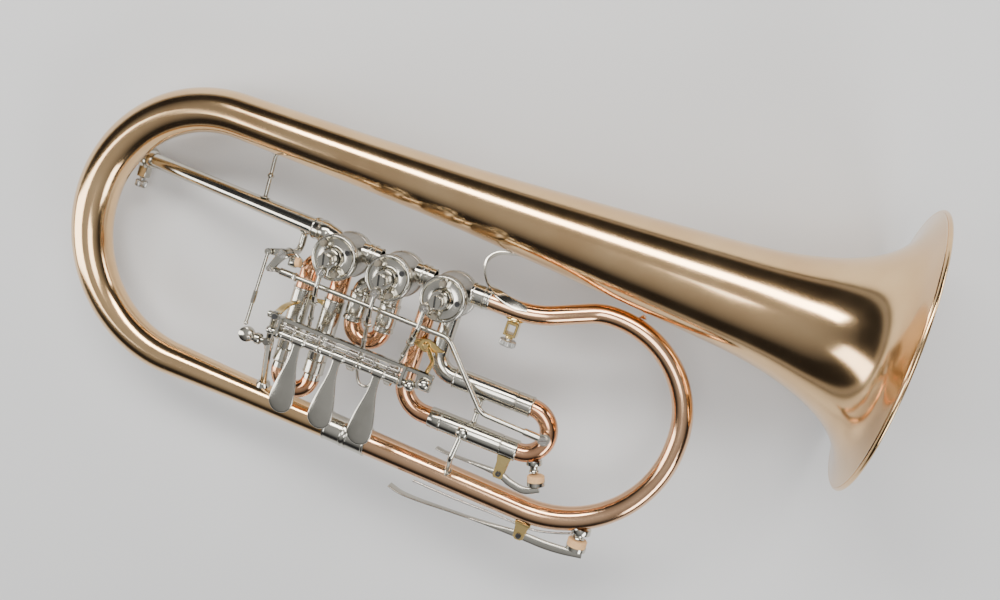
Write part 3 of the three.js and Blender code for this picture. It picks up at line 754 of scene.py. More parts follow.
def make_rear_branch():
    line = route([[JOINT_X, JOINT_Y, 0], [BRANCH_X, BRANCH_LOW_Y, 0, 65],
            [BRANCH_X, BRANCH_TOP_Y, 0, 53], [-143, BRANCH_TOP_Y, 1, 30],
            [-176, PORT_Y - 0.5, 12, 50], [-203.5, PORT_Y, BORE_Z]], FINE_ARC)
    radius = tapered(line, [(0, 7.7), (0.3, 7.2), (0.5, 6), (0.75, 5.6), (1, 5.4)])
    piece("rear_branch_tube", BRANCH, [
        pipe(line, radius, WALL, 56),
        rod((-122, BRANCH_TOP_Y + 4.6, 0), (-121.6, -26.5, 0), 1.1),
        flange((-122, BRANCH_TOP_Y + 4.6, 0), (0, 1, 0), 2.2, 0.5, 1.1)], ["rear_branch"])
    piece("branch_ferrule_band", NICKEL, [
        beaded_tube((-211.6, PORT_Y, BORE_Z), (-203, PORT_Y, BORE_Z), 6.15, 5.3, 0.35),
        beaded_tube((-203.4, PORT_Y, BORE_Z), (-200.6, PORT_Y, BORE_Z), 5.75, 5.2, 0.2)])


# ---- Valves

def make_casing(number, x):
    at = (x, VALVE_Y, 0)
    r = CASING_RADIUS
    low, top = CASING_LOW_Z, CASING_TOP_Z
    profile = [(10.9, low), (r + 0.5, low), (r + 0.7, low + 0.4), (r + 0.7, low + 1.6),
        (r + 0.5, low + 2), (r, low + 2.3), (r, top - 2.6), (r + 0.4, top - 2.3),
        (r + 0.6, top - 1.9), (r + 0.6, top - 0.4), (r + 0.4, top), (10.9, top)]
    piece(f"valve_casing_shell_{number}", SATIN, [
        lathe(profile, at, UP, 72, closed=True)], [f"valve_casing_{number}"])
    cap = [(0, -3.4), (2.6, -3.4), (3.4, -3.2), (3.9, -2.6), (4.4, -2.3), (9.6, -1.9),
        (11.4, -1.3), (12.6, 0.1), (12.9, 0.5), (12.9, 2.7), (12.6, low - 0.15), (0, low - 0.15)]
    piece(f"bottom_cap_knurled_{number}", NICKEL, [
        lathe(cap, at, UP, ripple=44, depth=0.28)], [f"bottom_cap_{number}"])


def make_top_plate(number, x):
    at = (x, VALVE_Y, 0)
    top = PLATE_TOP_Z
    profile = [(3.3, CASING_TOP_Z + 0.2), (12.2, CASING_TOP_Z + 0.2), (12.64, CASING_TOP_Z + 0.7),
        (12.64, top - 0.5), (12.3, top - 0.1), (11.9, top), (11.3, top), (10.9, top - 0.2),
        (10.5, top - 0.75), (6.6, top - 0.75), (6.1, top - 0.5), (5.7, top), (5.5, top + 2.2),
        (5.2, top + 2.55), (3.3, top + 2.55)]
    piece(f"top_plate_dish_{number}", NICKEL, [
        lathe(profile, at, UP, 80, closed=True)], [f"top_plate_{number}"])
    arm = STOP_ARM_ANGLE[number - 1]
    bumpers, holders = [], []
    for turn in (radians(41), -radians(131)):
        angle = arm + turn
        bx, by = x + BUMPER_REACH * cos(angle), VALVE_Y + BUMPER_REACH * sin(angle)
        bumpers.append(upright((bx, by), top + 3.0, top + 6.8, 1.6, 24, 0.3))
        holders.append(disc(2.2, 4.2, (0.2, 0.2), (0.3, 0.3), (bx, by, top - 0.72), UP, 32))
    middle = arm - radians(45 + 180)
    sx, sy = x + 8.6 * cos(middle), VALVE_Y + 8.6 * sin(middle)
    screw = slotted_head((sx, sy, top - 0.72), UP, 1.5, 1.3, 0.35, 0.9)
    piece(f"stop_bumpers_{number}", FELT, bumpers)
    piece(f"stop_bumper_holders_{number}", NICKEL, holders)
    piece(f"plate_screw_{number}", DARK_STEEL_AND_SLOT_SHADE, screw)


def arm_pin(number):
    """Where the pin of a stop arm is, in XY."""
    angle = STOP_ARM_ANGLE[number - 1]
    return (VALVE_X[number - 1] + STOP_ARM_LENGTH * cos(angle),
        VALVE_Y + STOP_ARM_LENGTH * sin(angle))


def make_rotor(number, x):
    body = f"rotor_{number}_body"
    pin = Vector((*arm_pin(number), 0))
    centre = Vector((x, VALVE_Y, 0))
    ahead = (pin - centre).normalized()
    side = Vector((-ahead.y, ahead.x, 0))
    angle = degrees(STOP_ARM_ANGLE[number - 1])
    hub = arc((x, VALVE_Y), 5.0, angle + 62, angle + 298, 30)
    tip = arc((pin.x, pin.y), 3.1, angle - 80, angle + 80, 16)
    waist = [tuple((centre + ahead * 5.2 - side * 2.5).xy),
        tuple((centre + ahead * 5.2 + side * 2.5).xy)]
    outline = hub + [waist[0]] + tip + [waist[1]]
    piece(f"stop_arm_plate_{number}", NICKEL, [
        plate(outline, ARM_Z, ARM_TOP_Z, 0.3)], [f"stop_arm_{number}"], body=body)
    low = ARM_TOP_Z + 0.05
    piece(f"hub_screw_slotted_{number}", NICKEL, [
        disc(3.7, 1.4, (0.2, 0.2), (0.3, 0.3), (x, VALVE_Y, low), UP, 48),
        *slotted_head((x, VALVE_Y, low + 1.35), UP, 3.4, 5.6, 0.7, 1.75, 0.5)],
        [f"hub_screw_{number}"], body=body)
    # Painted shade: a dark disc inside the hub screw's slot, above the slot's real floor, so that
    # the open slot looks dark
    floor = low + 1.35 + 5.6 - 0.9
    piece(f"hub_slot_painted_shade_{number}", DARK_STEEL_AND_SLOT_SHADE, [
        upright((x, VALVE_Y), floor - 0.3, floor + 0.1, 2.95, 32, 0.03)], body=body)
    stem = [(0, 14), (2.9, 14), (2.9, ARM_Z - 0.2), (0, ARM_Z - 0.2)]
    r, low, top = 10.5, CASING_LOW_Z + 0.7, CASING_TOP_Z - 0.5
    piece(f"rotor_core_{number}", SATIN, [
        lathe(stem, (x, VALVE_Y, 0), UP, 32),
        lathe([(0, low), (r - 0.4, low), (r, low + 0.4), (r, top - 0.4), (r - 0.4, top), (0, top)],
            (x, VALVE_Y, 0), UP, 48)], [f"rotor_{number}"], body=body)


def make_link(number):
    """Ball joint at the stop arm, rod with an adjusting collar, and a ball under the lever."""
    eye = Vector((*arm_pin(number), 0))
    foot = Vector((LINK_FOOT_X[number - 1], LINK_FOOT_Y + 2.4, LINK_FOOT_Z + 1.1))
    low = ARM_TOP_Z + 0.1
    bend = Vector((eye.x, eye.y - LINK_REACH[number - 1], LINK_Z))
    line = route([[eye.x, eye.y, LINK_Z], [*bend, 3], list(foot)])
    middle = bend.lerp(foot, 0.36)
    along = (foot - middle).normalized()
    piece(f"link_rod_{number}", NICKEL, [
        lathe([(0, 0), (2.5, 0), (2.9, 0.3), (2.9, 2.3), (2.6, 2.7), (2.1, 2.7), (1.9, 2.4),
            (0, 2.4)], (eye.x, eye.y, low), UP, 40),
        sweep(line, 1.2, 20),
        rod(middle - along * 4.5, middle + along * 0.5, 1.6, 6, 0.1),
        disc(2.4, 1.95, (0.3, 0.25), (0.3, 0.25), middle, along, 6),
        rod(foot - along * 7.5, foot - along * 5.5, 1.6, 20, 0.4)],
        [f"link_{number}"], body=f"link_{number}_body")
    piece(f"link_screw_{number}", STEEL, slotted_head((eye.x, eye.y, low + 2.1), UP, 1.75, 1.3,
            0.4, 0.3 + number, 0.2), body=f"link_{number}_body")


def make_valves():
    for number, x in enumerate(VALVE_X, 1):
        make_casing(number, x)
        make_top_plate(number, x)
        make_rotor(number, x)
        make_link(number)
    for number in (1, 2):
        start = Vector((VALVE_X[number - 1] + 10.6, PORT_Y, BORE_Z))
        end = Vector((VALVE_X[number] - 10.6, PORT_Y, BORE_Z))
        piece(f"knuckle_tube_{number}", NICKEL, [
            pipe([start, end], 5.7, 1.1, 48),
            beaded_tube(start.lerp(end, 0.3), start.lerp(end, 0.7), 6.0, 5.5, 0.3)],
            [f"valve_knuckle_{number}"])


# ---- Levers

def paddle_outline(x):
    """Slim neck, then a round finger pad like a drop."""
    tip = PADDLE_Y
    left = []
    for k in range(25):
        t = k / 24
        y = HINGE_Y - 2 + (tip - HINGE_Y + 2) * t
        blend = t * t * (3 - 2 * t)
        waist = 2.2 - 0.25 * sin(pi * min(1, t * 1.6))
        left.append((waist + (PADDLE_RADIUS - waist) * blend ** 1.15, y))
    around = arc((x, tip), PADDLE_RADIUS, 0, -180, 36)
    return ([(x + w, y) for w, y in left[:-1]] + around + [(x - w, y) for w, y in left[-2::-1]])


def make_lever(number):
    x, foot = LEVER_X[number - 1], LINK_FOOT_X[number - 1]
    body = f"lever_{number}_body"
    half = LEVER_PITCH / 2 - 0.2

    def curl(px, py):
        reach = max(0.0, HINGE_Y - 4 - py)
        crown = max(0.0, 1 - ((px - x) / PADDLE_RADIUS) ** 2) * min(1, reach / 25) * 0.4
        return crown - 0.55 * (max(0.0, reach - 24) / 12) ** 2
    top = HINGE_Z + 0.9
    pad = domed_plate(paddle_outline(x), (x, PADDLE_Y), top, top + 1.3, curl)
    arm = catmull([(foot, HINGE_Y - 0.9, HINGE_Z - 1.4), (foot, -102.4, 37.6),
            (foot, -104.6, 33.6), (foot, -102.6, 28.8), (foot, -97.6, 25.0)], 8)
    parts = [bar(x - half, x + half, (HINGE_Y, HINGE_Z), HINGE_TUBE_RADIUS + 0.35, 40, 0.2), pad,
        strap(arm, lambda t: 4.6 - 2.4 * t, lambda t: 1.5, lambda p: ALONG, 0.35),
        lathe([(0, 0), (1.2, 0), (1.4, 0.2), (1.4, 1.6), (0, 1.6)],
            (foot, LINK_FOOT_Y, LINK_FOOT_Z - 2.5), UP, 24),
        ball((foot, LINK_FOOT_Y, LINK_FOOT_Z), 1.75, 28)]
    for shift in (-half + 0.9, half - 0.9, -2.6, 2.6):
        parts.append(lathe([(0, -0.8), (2.5, -0.8), (2.7, -0.55), (2.7, 0.55), (2.5, 0.8),
                (0, 0.8)], (x + shift, *HINGE), ALONG, 40))
    parts.append(bar(x - 3.1, x + 3.1, HINGE, 3.1, 40, 0.5))
    piece(f"lever_arm_{number}", NICKEL, parts, [f"lever_{number}"], body=body)


def domed_plate(outline, centre, low, high, rise):
    """A plate with a gently domed top made of inset rings."""

    def ring(scale, height):
        made = []
        for px, py in outline:
            spine = (centre[0], max(py, centre[1]))
            nx, ny = spine[0] + (px - spine[0]) * scale, spine[1] + (py - spine[1]) * scale
            made.append(Vector((nx, ny, height + rise(nx, ny))))
        return made
    return skin([ring(scale, height) for scale, height in (
        (0.06, low), (0.9, low), (0.97, low + 0.08), (1.0, low + 0.3), (1.0, high - 0.42),
        (0.985, high - 0.2), (0.95, high - 0.06), (0.88, high), (0.6, high), (0.3, high),
        (0.06, high))])


def make_levers():
    for number in (1, 2, 3):
        make_lever(number)
    left = LEVER_X[0] - LEVER_PITCH / 2
    right = LEVER_X[2] + LEVER_PITCH / 2
    piece("lever_axle_rod", NICKEL, [
        bar(left - 5.5, right + 6, HINGE, AXLE_RADIUS),
        ball((left - 6, *HINGE), 2.4, 32),
        bar(left - 4.6, left - 2.6, HINGE, 2.0, 28, 0.3),
        ball((right + 6.2, *HINGE), 3.3, 40),
        bar(right + 2.4, right + 4, HINGE, 2.1, 28, 0.3)], ["lever_axle"])
    make_lever_frame(left - 2.3, right + 0.3)


def soften(outline, reach):
    """Cuts each corner of an outline into a short curve."""
    made = []
    for i, corner in enumerate(outline):
        at = Vector(corner)
        before = (Vector(outline[i - 1]) - at).normalized() * reach + at
        after = (Vector(outline[(i + 1) % len(outline)]) - at).normalized() * reach + at
        for t in (0, 0.25, 0.5, 0.75, 1):
            spot = before * (1 - t) ** 2 + at * 2 * t * (1 - t) + after * t * t
            made.append((spot.x, spot.y))
    return made


def post_outline():
    """The frame's end cheek: a rounded eye about the axle and a foot on the bar."""
    eye = arc(HINGE, 3.35, -60, -260, 26)
    return eye + [(-95.4, 43.6), (-92.4, 43.2), (-89.4, 42.6), (-89.2, 38.2), (-92.0, 37.8),
        (-95.2, 37.9)]


def make_lever_frame(left, right):
    spring = spring_y, spring_z = HINGE_Y + 4.4, HINGE_Z - 0.6
    cheeks = []
    for x in (left, right):
        cheeks.append(turned_plate(post_outline(), 2.0, (x, 0, 0), (0, 1, 0), UP, 0.3))
    piece("lever_frame_bar", NICKEL, [
        slab((left - 7, -91.6, 38.4), (right + 14, -89.2, 41.4), 0.5),
        *cheeks,
        slab((right + 8, -98.8, 38.5), (right + 17, -89.2, 41.3), 0.5),
        bar(left + 1, right + 1, spring, 0.8),
        lathe([(0, 0), (3.3, 0), (3.6, 0.4), (3.4, 1.6), (2.6, 2.8), (1.3, 3.5), (0, 3.65)],
            (right + 13.2, -94.9, 41.1), UP, 48),
        bar(left - 7.6, left - 5.6, (-90.4, 39.9), 1.9, 28, 0.3)], ["lever_frame"])
    piece("frame_screws", DARK_STEEL_AND_SLOT_SHADE, [
        *slotted_head((left - 3.2, -90.4, 41.35), UP, 1.5, 0.9, 0.35, 0.4)])
    foot = Vector((left - 13.3, -142.4, 2.2))
    upper = Vector((left - 4, -90.6, 39))
    knee = Vector((left - 5.8, -104, 33))
    aim = (foot - knee).normalized()
    piece("frame_strut", NICKEL, [
        sweep(route([list(upper), [*knee, 4], list(foot)]), 2.0, 32),
        rod(upper - UP * 1.2, upper + UP, 2.6),
        rod(knee + aim * 3, knee + aim * 12, 2.5, 32, 0.4),
        bar(left - 10.3, left - 5.6, (THUMB[1], THUMB[2]), 1.6, 24, 0.3),
        rod((left - 6.6, THUMB[1], THUMB[2] + 1.8), (left - 6.5, -107.3, 29.8), 2.3, 28, 0.5),
        lathe([(0, -0.6), (3.9, -0.6), (4.1, 0), (3.4, 0.8), (2.3, 2.6), (0, 3)], foot, -aim, 32)])
    hoop = catmull([(-253.8, -91, 37.8), (-254.2, -96, 34.6), (-254.8, -103, 32.8),
            (-252.4, -109.6, 32.2), (-249.2, -111.2, 32.1), (-246, -109.6, 32.2),
            (-243.6, -103, 32.8), (-244.2, -96, 34.6), (-244.6, -91, 37.8)], 8)
    piece("thumb_hoop", NICKEL, [sweep(hoop, 0.85, 18)])
    diamond = [(-236.4, -80.5), (-225.2, -76.4), (-214.0, -80.5), (-225.2, -84.6)]
    stay = route([[-225.2, -80.5, 20], [-217.6, -86, 27, 5], [-217.4, -93.5, 38.8]])
    piece("valve_three_brace", YELLOW, [
        plate(soften(diamond, 1.6), 18.9, 20.6, 0.3), sweep(stay, 1.25, 20),
        lathe([(0, 0), (2.3, 0), (2.3, 0.6), (1.3, 2.4), (0, 2.4)],
            (-225.2, -80.5, 20.5), UP, 28)])
    strap_line = catmull([(-302.2, -83.6, 19.4), (-305.8, -86.4, 25), (-306.6, -89.4, 32),
            (-305.4, -90.4, 38.6)], 8)
    piece("frame_strap", YELLOW, [band(strap_line, 5.4, 1.3, lambda p: Vector((1, 0.4, 0)))])
    for number, x in enumerate(LEVER_X, 1):
        coils = []
        for side in (-1, 1):
            near, far = x + side * 3.9, x + side * 10.4
            coils.append(helix((near, *spring), (far, *spring), 1.35, 0.3, 9, phase=0.7))
            inner_tail = [(near, spring_y, spring_z + 1.35),
                (near, spring_y - 1.2, spring_z + 2.6),
                (near + side * 0.3, HINGE_Y - 0.6, HINGE_Z + 2.4)]
            outer_tail = [(far, spring_y, spring_z + 1.35), (far, spring_y + 1.4, spring_z + 1.9),
                (far, spring_y + 2.8, spring_z + 1.9)]
            coils += [sweep(catmull(tail, 5), 0.3, 8) for tail in (inner_tail, outer_tail)]
        piece(f"return_spring_{number}", STEEL, coils, [f"lever_spring_{number}"])


# ---- Slides

def sleeve(start, end):
    """An outer slide tube: drawn sleeve with a plain band at the valve and a bead at the mouth."""
    start, end = Vector(start), Vector(end)
    length = (end - start).length
    r = SLEEVE_RADIUS
    profile = [(r - 0.75, 0), (r - 0.15, 0), (r + 0.15, 0.25), (r + 0.2, 0.6), (r + 0.15, 1.0),
        (r - 0.1, 1.25), (r - 0.1, length - 0.5), (r - 0.3, length), (r - 0.75, length)]
    return lathe(profile, start, end - start, 48, closed=True)


def lead_tube(points):
    return pipe(points, TUBE_RADIUS, WALL, 40)


def crook(name, body, cad_name, starts, ends, ferrules):
    """A pulling crook: nickel inner legs, nickel ferrules and a rose bow between them."""
    starts, ends = [Vector(p) for p in starts], [Vector(p) for p in ends]
    way = (ends[0] - starts[0]).normalized()
    bow = bow_points(*ends, way)
    piece(f"{name}_bow", ROSE, [
        skin(rings_along(bow, CROOK_RADIUS + 0.1, 48) + rings_along(bow, CROOK_RADIUS - 0.7,
            48)[::-1], closed=True)], [cad_name], body)
    before, past = ferrules
    long = before + past
    shapes = []
    for start, end in zip(starts, ends):
        shapes.append(pipe([start, end], SLIDE_TUBE_RADIUS, WALL, 40))
        shapes.append(lathe([(4.9, 0), (5.5, 0), (5.75, 0.25), (5.75, long - 1.5),
                (6.0, long - 1.3), (6.05, long - 0.8), (5.8, long - 0.35), (5.3, long),
                (4.9, long)], end - way * before, way, 48, closed=True))
    piece(f"{name}_legs", NICKEL, shapes, body=body)


def bow_points(start, end, ahead):
    """A half turn between the ends of two parallel legs."""
    middle = (start + end) / 2
    across = start - middle
    angles = [pi * k / BOW_STEPS for k in range(BOW_STEPS + 1)]
    return [middle + across * cos(a) + ahead * across.length * sin(a) for a in angles]


def cross_brace(a, b, foot, rod_radius, middle):
    """A brace between two tubes: flared feet and a turned rod with a middle bead."""
    a, b = Vector(a), Vector(b)
    way = (b - a).normalized()
    shapes = [rod(a, b, rod_radius, 20), flange(a, way, foot, 0.5, rod_radius),
        flange(b, -way, foot, 0.5, rod_radius)]
    shapes.append(lathe([(0, -1.6), (rod_radius, -1.5), (middle, -0.5), (middle, 0.5),
            (rod_radius, 1.5), (0, 1.6)], (a + b) / 2, way, 24))
    return shapes


def make_slides():
    z = BORE_Z
    left, right = FIRST_SLIDE_X
    lead = route([[-296.5, -59.5, z], [left, -59.5, z, 6], [left, -77.5, z]])
    piece("first_slide_leads", ROSE, [
        lead_tube(lead), lead_tube([(right, -60.5, z), (right, -77.5, z)])], ["first_slide_tubes"])
    piece("first_slide_sleeves", NICKEL, [
        *[sleeve((x, -76, z), (x, -112, z)) for x in FIRST_SLIDE_X],
        bar(-296.4, -299.6, (-59.5, z), 5.75, 40, 0.3)])
    mid = (left + right) / 2
    web = [(left + 4.6, -78.4), (mid, -79.4), (right - 4.6, -78.4), (right - 4.6, -83.0),
        (mid + 2.5, -81.6), (mid - 2.5, -81.6), (left + 4.6, -83.0)]
    piece("first_slide_brace", YELLOW, [plate(web, z - 1.2, z + 1.2, 0.35)])
    crook("first_crook", "first_slide_body", "first_slide_crook", ((left, -82.5, z),
          (right, -82.5, z)), ((left, -124.0, z), (right, -124.0, z)), (11.4, -3.2))

    left, right = SECOND_SLIDE_X
    lead = route([[-262.5, -60.5, z], [left, -62.5, z, 5], [left, -70, z]])
    piece("second_slide_leads", NICKEL, [
        lead_tube(lead),
        lead_tube([(right, -61.5, z), (right, -70, z)]),
        *[sleeve((x, -67, z), (x, -80, z)) for x in SECOND_SLIDE_X]], ["second_slide_tubes"])
    crook("second_crook", "second_slide_body", "second_slide_crook",
        ((left, -70, z), (right, -70, z)), ((left, -83.0, z), (right, -83.0, z)), (2.4, 0.6))

    top, low = THIRD_SLIDE_Y
    lead = route([[-218.4, -60.5, z], [-218.4, top, z, 11], [-205, top, z]])
    outer = route([[-232, -60.5, z], [-232, low, z, 16], [-205, low, z]])
    piece("third_slide_leads", ROSE, [lead_tube(outer)], ["third_slide_tubes"])
    piece("third_slide_inner_lead", NICKEL, [lead_tube(lead)])
    piece("third_slide_sleeves", NICKEL, [
        *[sleeve((-206, y, z), (-169.5, y, z)) for y in THIRD_SLIDE_Y],
        lathe([(5.1, 0), (5.6, 0), (5.8, 0.3), (5.8, 6.0), (5.1, 6.0)], (-212, low, z), ALONG, 48,
            closed=True)])
    piece("third_slide_brace", NICKEL, [
        *cross_brace((-188, top - 5.4, z), (-188, low + 5.4, z), 3.1, 1.5, 2.2)])
    stand, knee = Vector((-191.4, low - 0.6, z + 5.2)), Vector((-192.8, -135.2, 21.2))
    tail = Vector((-194.4, -149.6, 5.4))
    way = (tail - knee).normalized()
    piece("third_slide_stay", NICKEL, [
        sweep(route([list(stand), [-191.6, low - 3, 21.2, 1.6], [*knee, 6], list(tail)]), 1.6, 28),
        lathe([(0, 0), (3.4, 0), (3.6, 0.5), (3.0, 1.3), (2.0, 2.0), (0, 2.0)], stand - UP * 0.2,
            UP, 32),
        disc(2.4, 1.6, (0.2, 0.3), (0.2, 0.3), tail - way * 5.6, way, 28),
        flange(tail + way, -way, 3.2, 0.6, 1.7)])
    tip = THIRD_BOW_X - 13
    crook("third_crook", "third_slide_body", "third_slide_crook",
        ((-199.5, top, z), (-199.5, low, z)), ((tip, top, z), (tip, low, z)), (9.2, 0.2))
    cheek = [(-168.4, -135.2), (-167.6, -136.3), (-163.6, -136.3), (-162.8, -135.2),
        (-162.4, -127), (-161.5, -123.9), (-169.5, -123.9), (-168.7, -127)]
    piece("third_key_saddle", YELLOW, key_saddle(cheek, (-169.4, -124.4), (-161.6, -123.0),
            THIRD_KEY_PIVOT, z, 3.1), body="third_slide_body")
    piece("third_key_nipple", NICKEL, [
        lathe([(1.2, 0), (4.3, 0), (4.5, 2.2), (4.2, 2.7), (2.6, 3.1), (2.2, 3.8), (2.1, 5.2),
            (2.6, 5.7), (2.8, 6.6), (1.2, 6.6)], (-149.9, -119.6, z), Vector((3, -9, 0)), 36,
            closed=True)], body="third_slide_body")
    piece("third_key_pivot_screw", DARK_STEEL_AND_SLOT_SHADE, slotted_head((*THIRD_KEY_PIVOT, z + 3.1), UP, 1.5,
            0.9, 0.35, 0.6), body="third_slide_body")


# ---- Water keys

def key_bar(points, z, touch, neck, swell, thinning):
    """A key's bar: its width stands along Z and its thickness lies across it.

    touch: the width at the start and its loss over the length; neck: where that ends and the
    width beyond it; swell: the gain in thickness, where it starts and its reach; thinning:
    where the loss of 1 mm at the end starts and its reach.
    """
    def width(t):
        return touch[0] - touch[1] * t if t < neck[0] else neck[1]

    def thickness(t):
        return (1.0 + swell[0] * smooth_step((t - swell[1]) / swell[2])
                - smooth_step((t - thinning[0]) / thinning[1]))
    return strap(catmull([(x, y, z) for x, y in points], 6), width, thickness, lambda p: UP, 0.5)


def smooth_step(t):
    t = min(1.0, max(0.0, t))
    return t * t * (3 - 2 * t)


def key_cup(at, way, radius):
    return lathe([(0, -1.6), (1.2, -1.5), (radius - 0.6, -0.9), (radius, -0.5), (radius, 1.6),
            (radius - 0.5, 1.8), (0, 1.8)], at, way, 40)


def key_saddle(cheek, bridge_low, bridge_high, pivot, z, outer):
    """Two cheeks on a bridge with the key's pin through them; outer is their reach from z."""
    return [plate(cheek, z + KEY_GAP, z + outer, 0.2), plate(cheek, z - outer, z - KEY_GAP, 0.2),
        slab((*bridge_low, z - outer), (*bridge_high, z + outer), 0.3),
        upright(pivot, z - 3.6, z + 3.6, 0.8, 20)]


def make_water_keys():
    z = BORE_Z
    piece("third_key_lever", NICKEL, [
        key_bar([(-203, -133.9), (-196, -134.6), (-180, -134.2), (-165.5, -134.4), (-158, -136.8),
            (-151, -137.8), (-146.5, -136.6), (-141.8, -134.2)], z, (5.4, 5.0), (0.5, 2.9),
            (3.2, 0.2, 0.3), (0.7, 0.3)),
        upright(THIRD_KEY_PIVOT, z - 2.0, z + 2.0, 1.9, 24),
        key_cup((-144.5, -132.0, z), Vector((-0.33, 0.94, 0)), 5.0)],
        ["third_water_key"], body="third_water_key_body")
    piece("third_key_pad", CORK, [
        rod((-146.2, -127.2, z), (-144.8, -131.4, z), 4.8, 40, 0.6)],
        ["third_water_key_cork"], body="third_water_key_body")

    cheek = [(-148.0, -169.6), (-146.6, -170.8), (-143.4, -170.8), (-142.0, -169.6),
        (-141.4, -164), (-140.6, -160.9), (-149.4, -160.9), (-148.6, -164)]
    piece("branch_key_saddle", YELLOW, [
        *key_saddle(cheek, (-149.6, -162.0), (-140.4, -160.4), BRANCH_KEY_PIVOT, 0, 3.15)],
        ["water_key_seat"])
    piece("branch_key_nipple", NICKEL, [
        lathe([(1.4, -1.4), (5.6, -1.4), (5.9, 1.3), (5.6, 1.8), (3.4, 2.2), (2.6, 2.9),
            (2.5, 3.9), (3.2, 4.4), (3.5, 5.2), (1.4, 5.2)], (-113.65, -151.9, 0),
            Vector((0.03, -1, 0)), 44, closed=True)])
    piece("branch_key_pivot_screw", DARK_STEEL_AND_SLOT_SHADE, slotted_head((*BRANCH_KEY_PIVOT, 3.15), UP, 1.6,
            0.9, 0.35, 1.0))
    wire = catmull([(-213, -163.1, 0), (-190, -163.6, 0), (-165, -163.2, 0), (-150, -163.2, 0),
            (-138, -162.8, 0), (-126, -159.4, 0), (-114, -154.4, 0)], 6)
    piece("branch_key_guard_wire", STEEL, [sweep(wire, 0.65, 12)])
    piece("branch_key_lever", NICKEL, [
        key_bar([(-225, -170.8), (-217, -172.6), (-205, -172.6), (-190, -171.6), (-165, -170.0),
            (-145, -168.6), (-130, -168.4), (-118, -167.2), (-108.4, -165.6)], 0, (7.0, 7.0),
            (0.6, 2.8), (4.0, 0.42, 0.26), (0.8, 0.2)),
        upright(BRANCH_KEY_PIVOT, -2.0, 2.0, 2.0, 24),
        key_cup((-112.9, -163.3, 0), Vector((-0.05, 1, 0)), 5.7)],
        ["water_key"], body="water_key_body")
    piece("branch_key_pad", CORK, [
        rod((-113.4, -157.7, 0), (-113.1, -162.4, 0), 5.5, 40, 0.6)],
        ["water_key_cork"], body="water_key_body")
    springs = [helix((*THIRD_KEY_PIVOT, z + side - 0.4), (*THIRD_KEY_PIVOT, z + side + 0.4),
                     2.2, 0.25, 2) for side in (-1.45, 1.45)]
    piece("third_key_spring", STEEL, springs, body="third_slide_body")


# ---- Mouthpipe, receiver and fittings

def make_mouthpipe():
    points = [PIPE_END.lerp(PIPE_START, k / 24) for k in range(25)]
    piece("mouthpipe_tube", NICKEL, [
        pipe(points, tapered(points, [(0, 5.15), (1, 4.2)]), 0.6, 48)], ["mouthpipe"])
    way = (PIPE_START - PIPE_END).normalized()
    piece("mouthpipe_ferrule", NICKEL, [
        beaded_tube(PIPE_END - way * 1.5, PIPE_END + way * 4.2, 5.95, 5.2, 0.4),
        sweep(catmull([PIPE_END + way, PIPE_END - way * 2.5, (-298.5, -42.9, 15),
            (-293.6, -44.2, 15), (-288.6, -47.4, 15)], 8), 5.75, 48)])
    reach = (RECEIVER_X - PIPE_START.x) / way.x
    profile = [(4.3, 0), (4.7, 0), (5.3, 0.8), (5.5, 1.8), (5.5, reach - 7.6), (5.8, reach - 7.2),
        (5.8, reach - 6.4), (5.5, reach - 6.0), (5.5, reach - 3.2), (6.0, reach - 3.0),
        (6.45, reach - 2.4), (6.45, reach - 0.6), (6.1, reach), (4.75, reach), (4.45, reach - 0.8),
        (4.1, 2)]
    ring_at = PIPE_START + way * ((CLAMP_X - PIPE_START.x) / way.x)
    piece("receiver_tube", NICKEL, [
        lathe(profile, PIPE_START, way, 64, closed=True),
        lathe([(5.5, -2.9), (6.6, -2.9), (6.95, -2.5), (6.95, 2.5), (6.6, 2.9), (5.5, 2.9)],
            ring_at, way, 56, closed=True),
        slab((-436.8, -57.1, ring_at.z - 3.0), (-431.2, -49.4, ring_at.z + 3.0), 0.5)],
        ["mouthpiece_receiver"])
    piece("clamp_screw_knob", KNURL, [
        rod((CLAMP_X, -57.4, ring_at.z), (CLAMP_X, -59.6, ring_at.z), 1.6, 24),
        lathe([(0, 0), (3.0, 0), (3.55, 0.4), (3.55, 3.7), (3.1, 4.15), (0, 4.3)],
            (CLAMP_X, -59.1, ring_at.z), (0, -1, 0), ripple=28, depth=0.3)],
        ["clamp_screw"], body="clamp_screw_body")
    a, b = Vector((-347.6, -13.2, 0)), Vector((-345, -38.6, 3.9))
    piece("mouthpipe_stay", NICKEL, cross_brace(a, b, 3.0, 1.15, 2.0), ["mouthpipe_brace"])


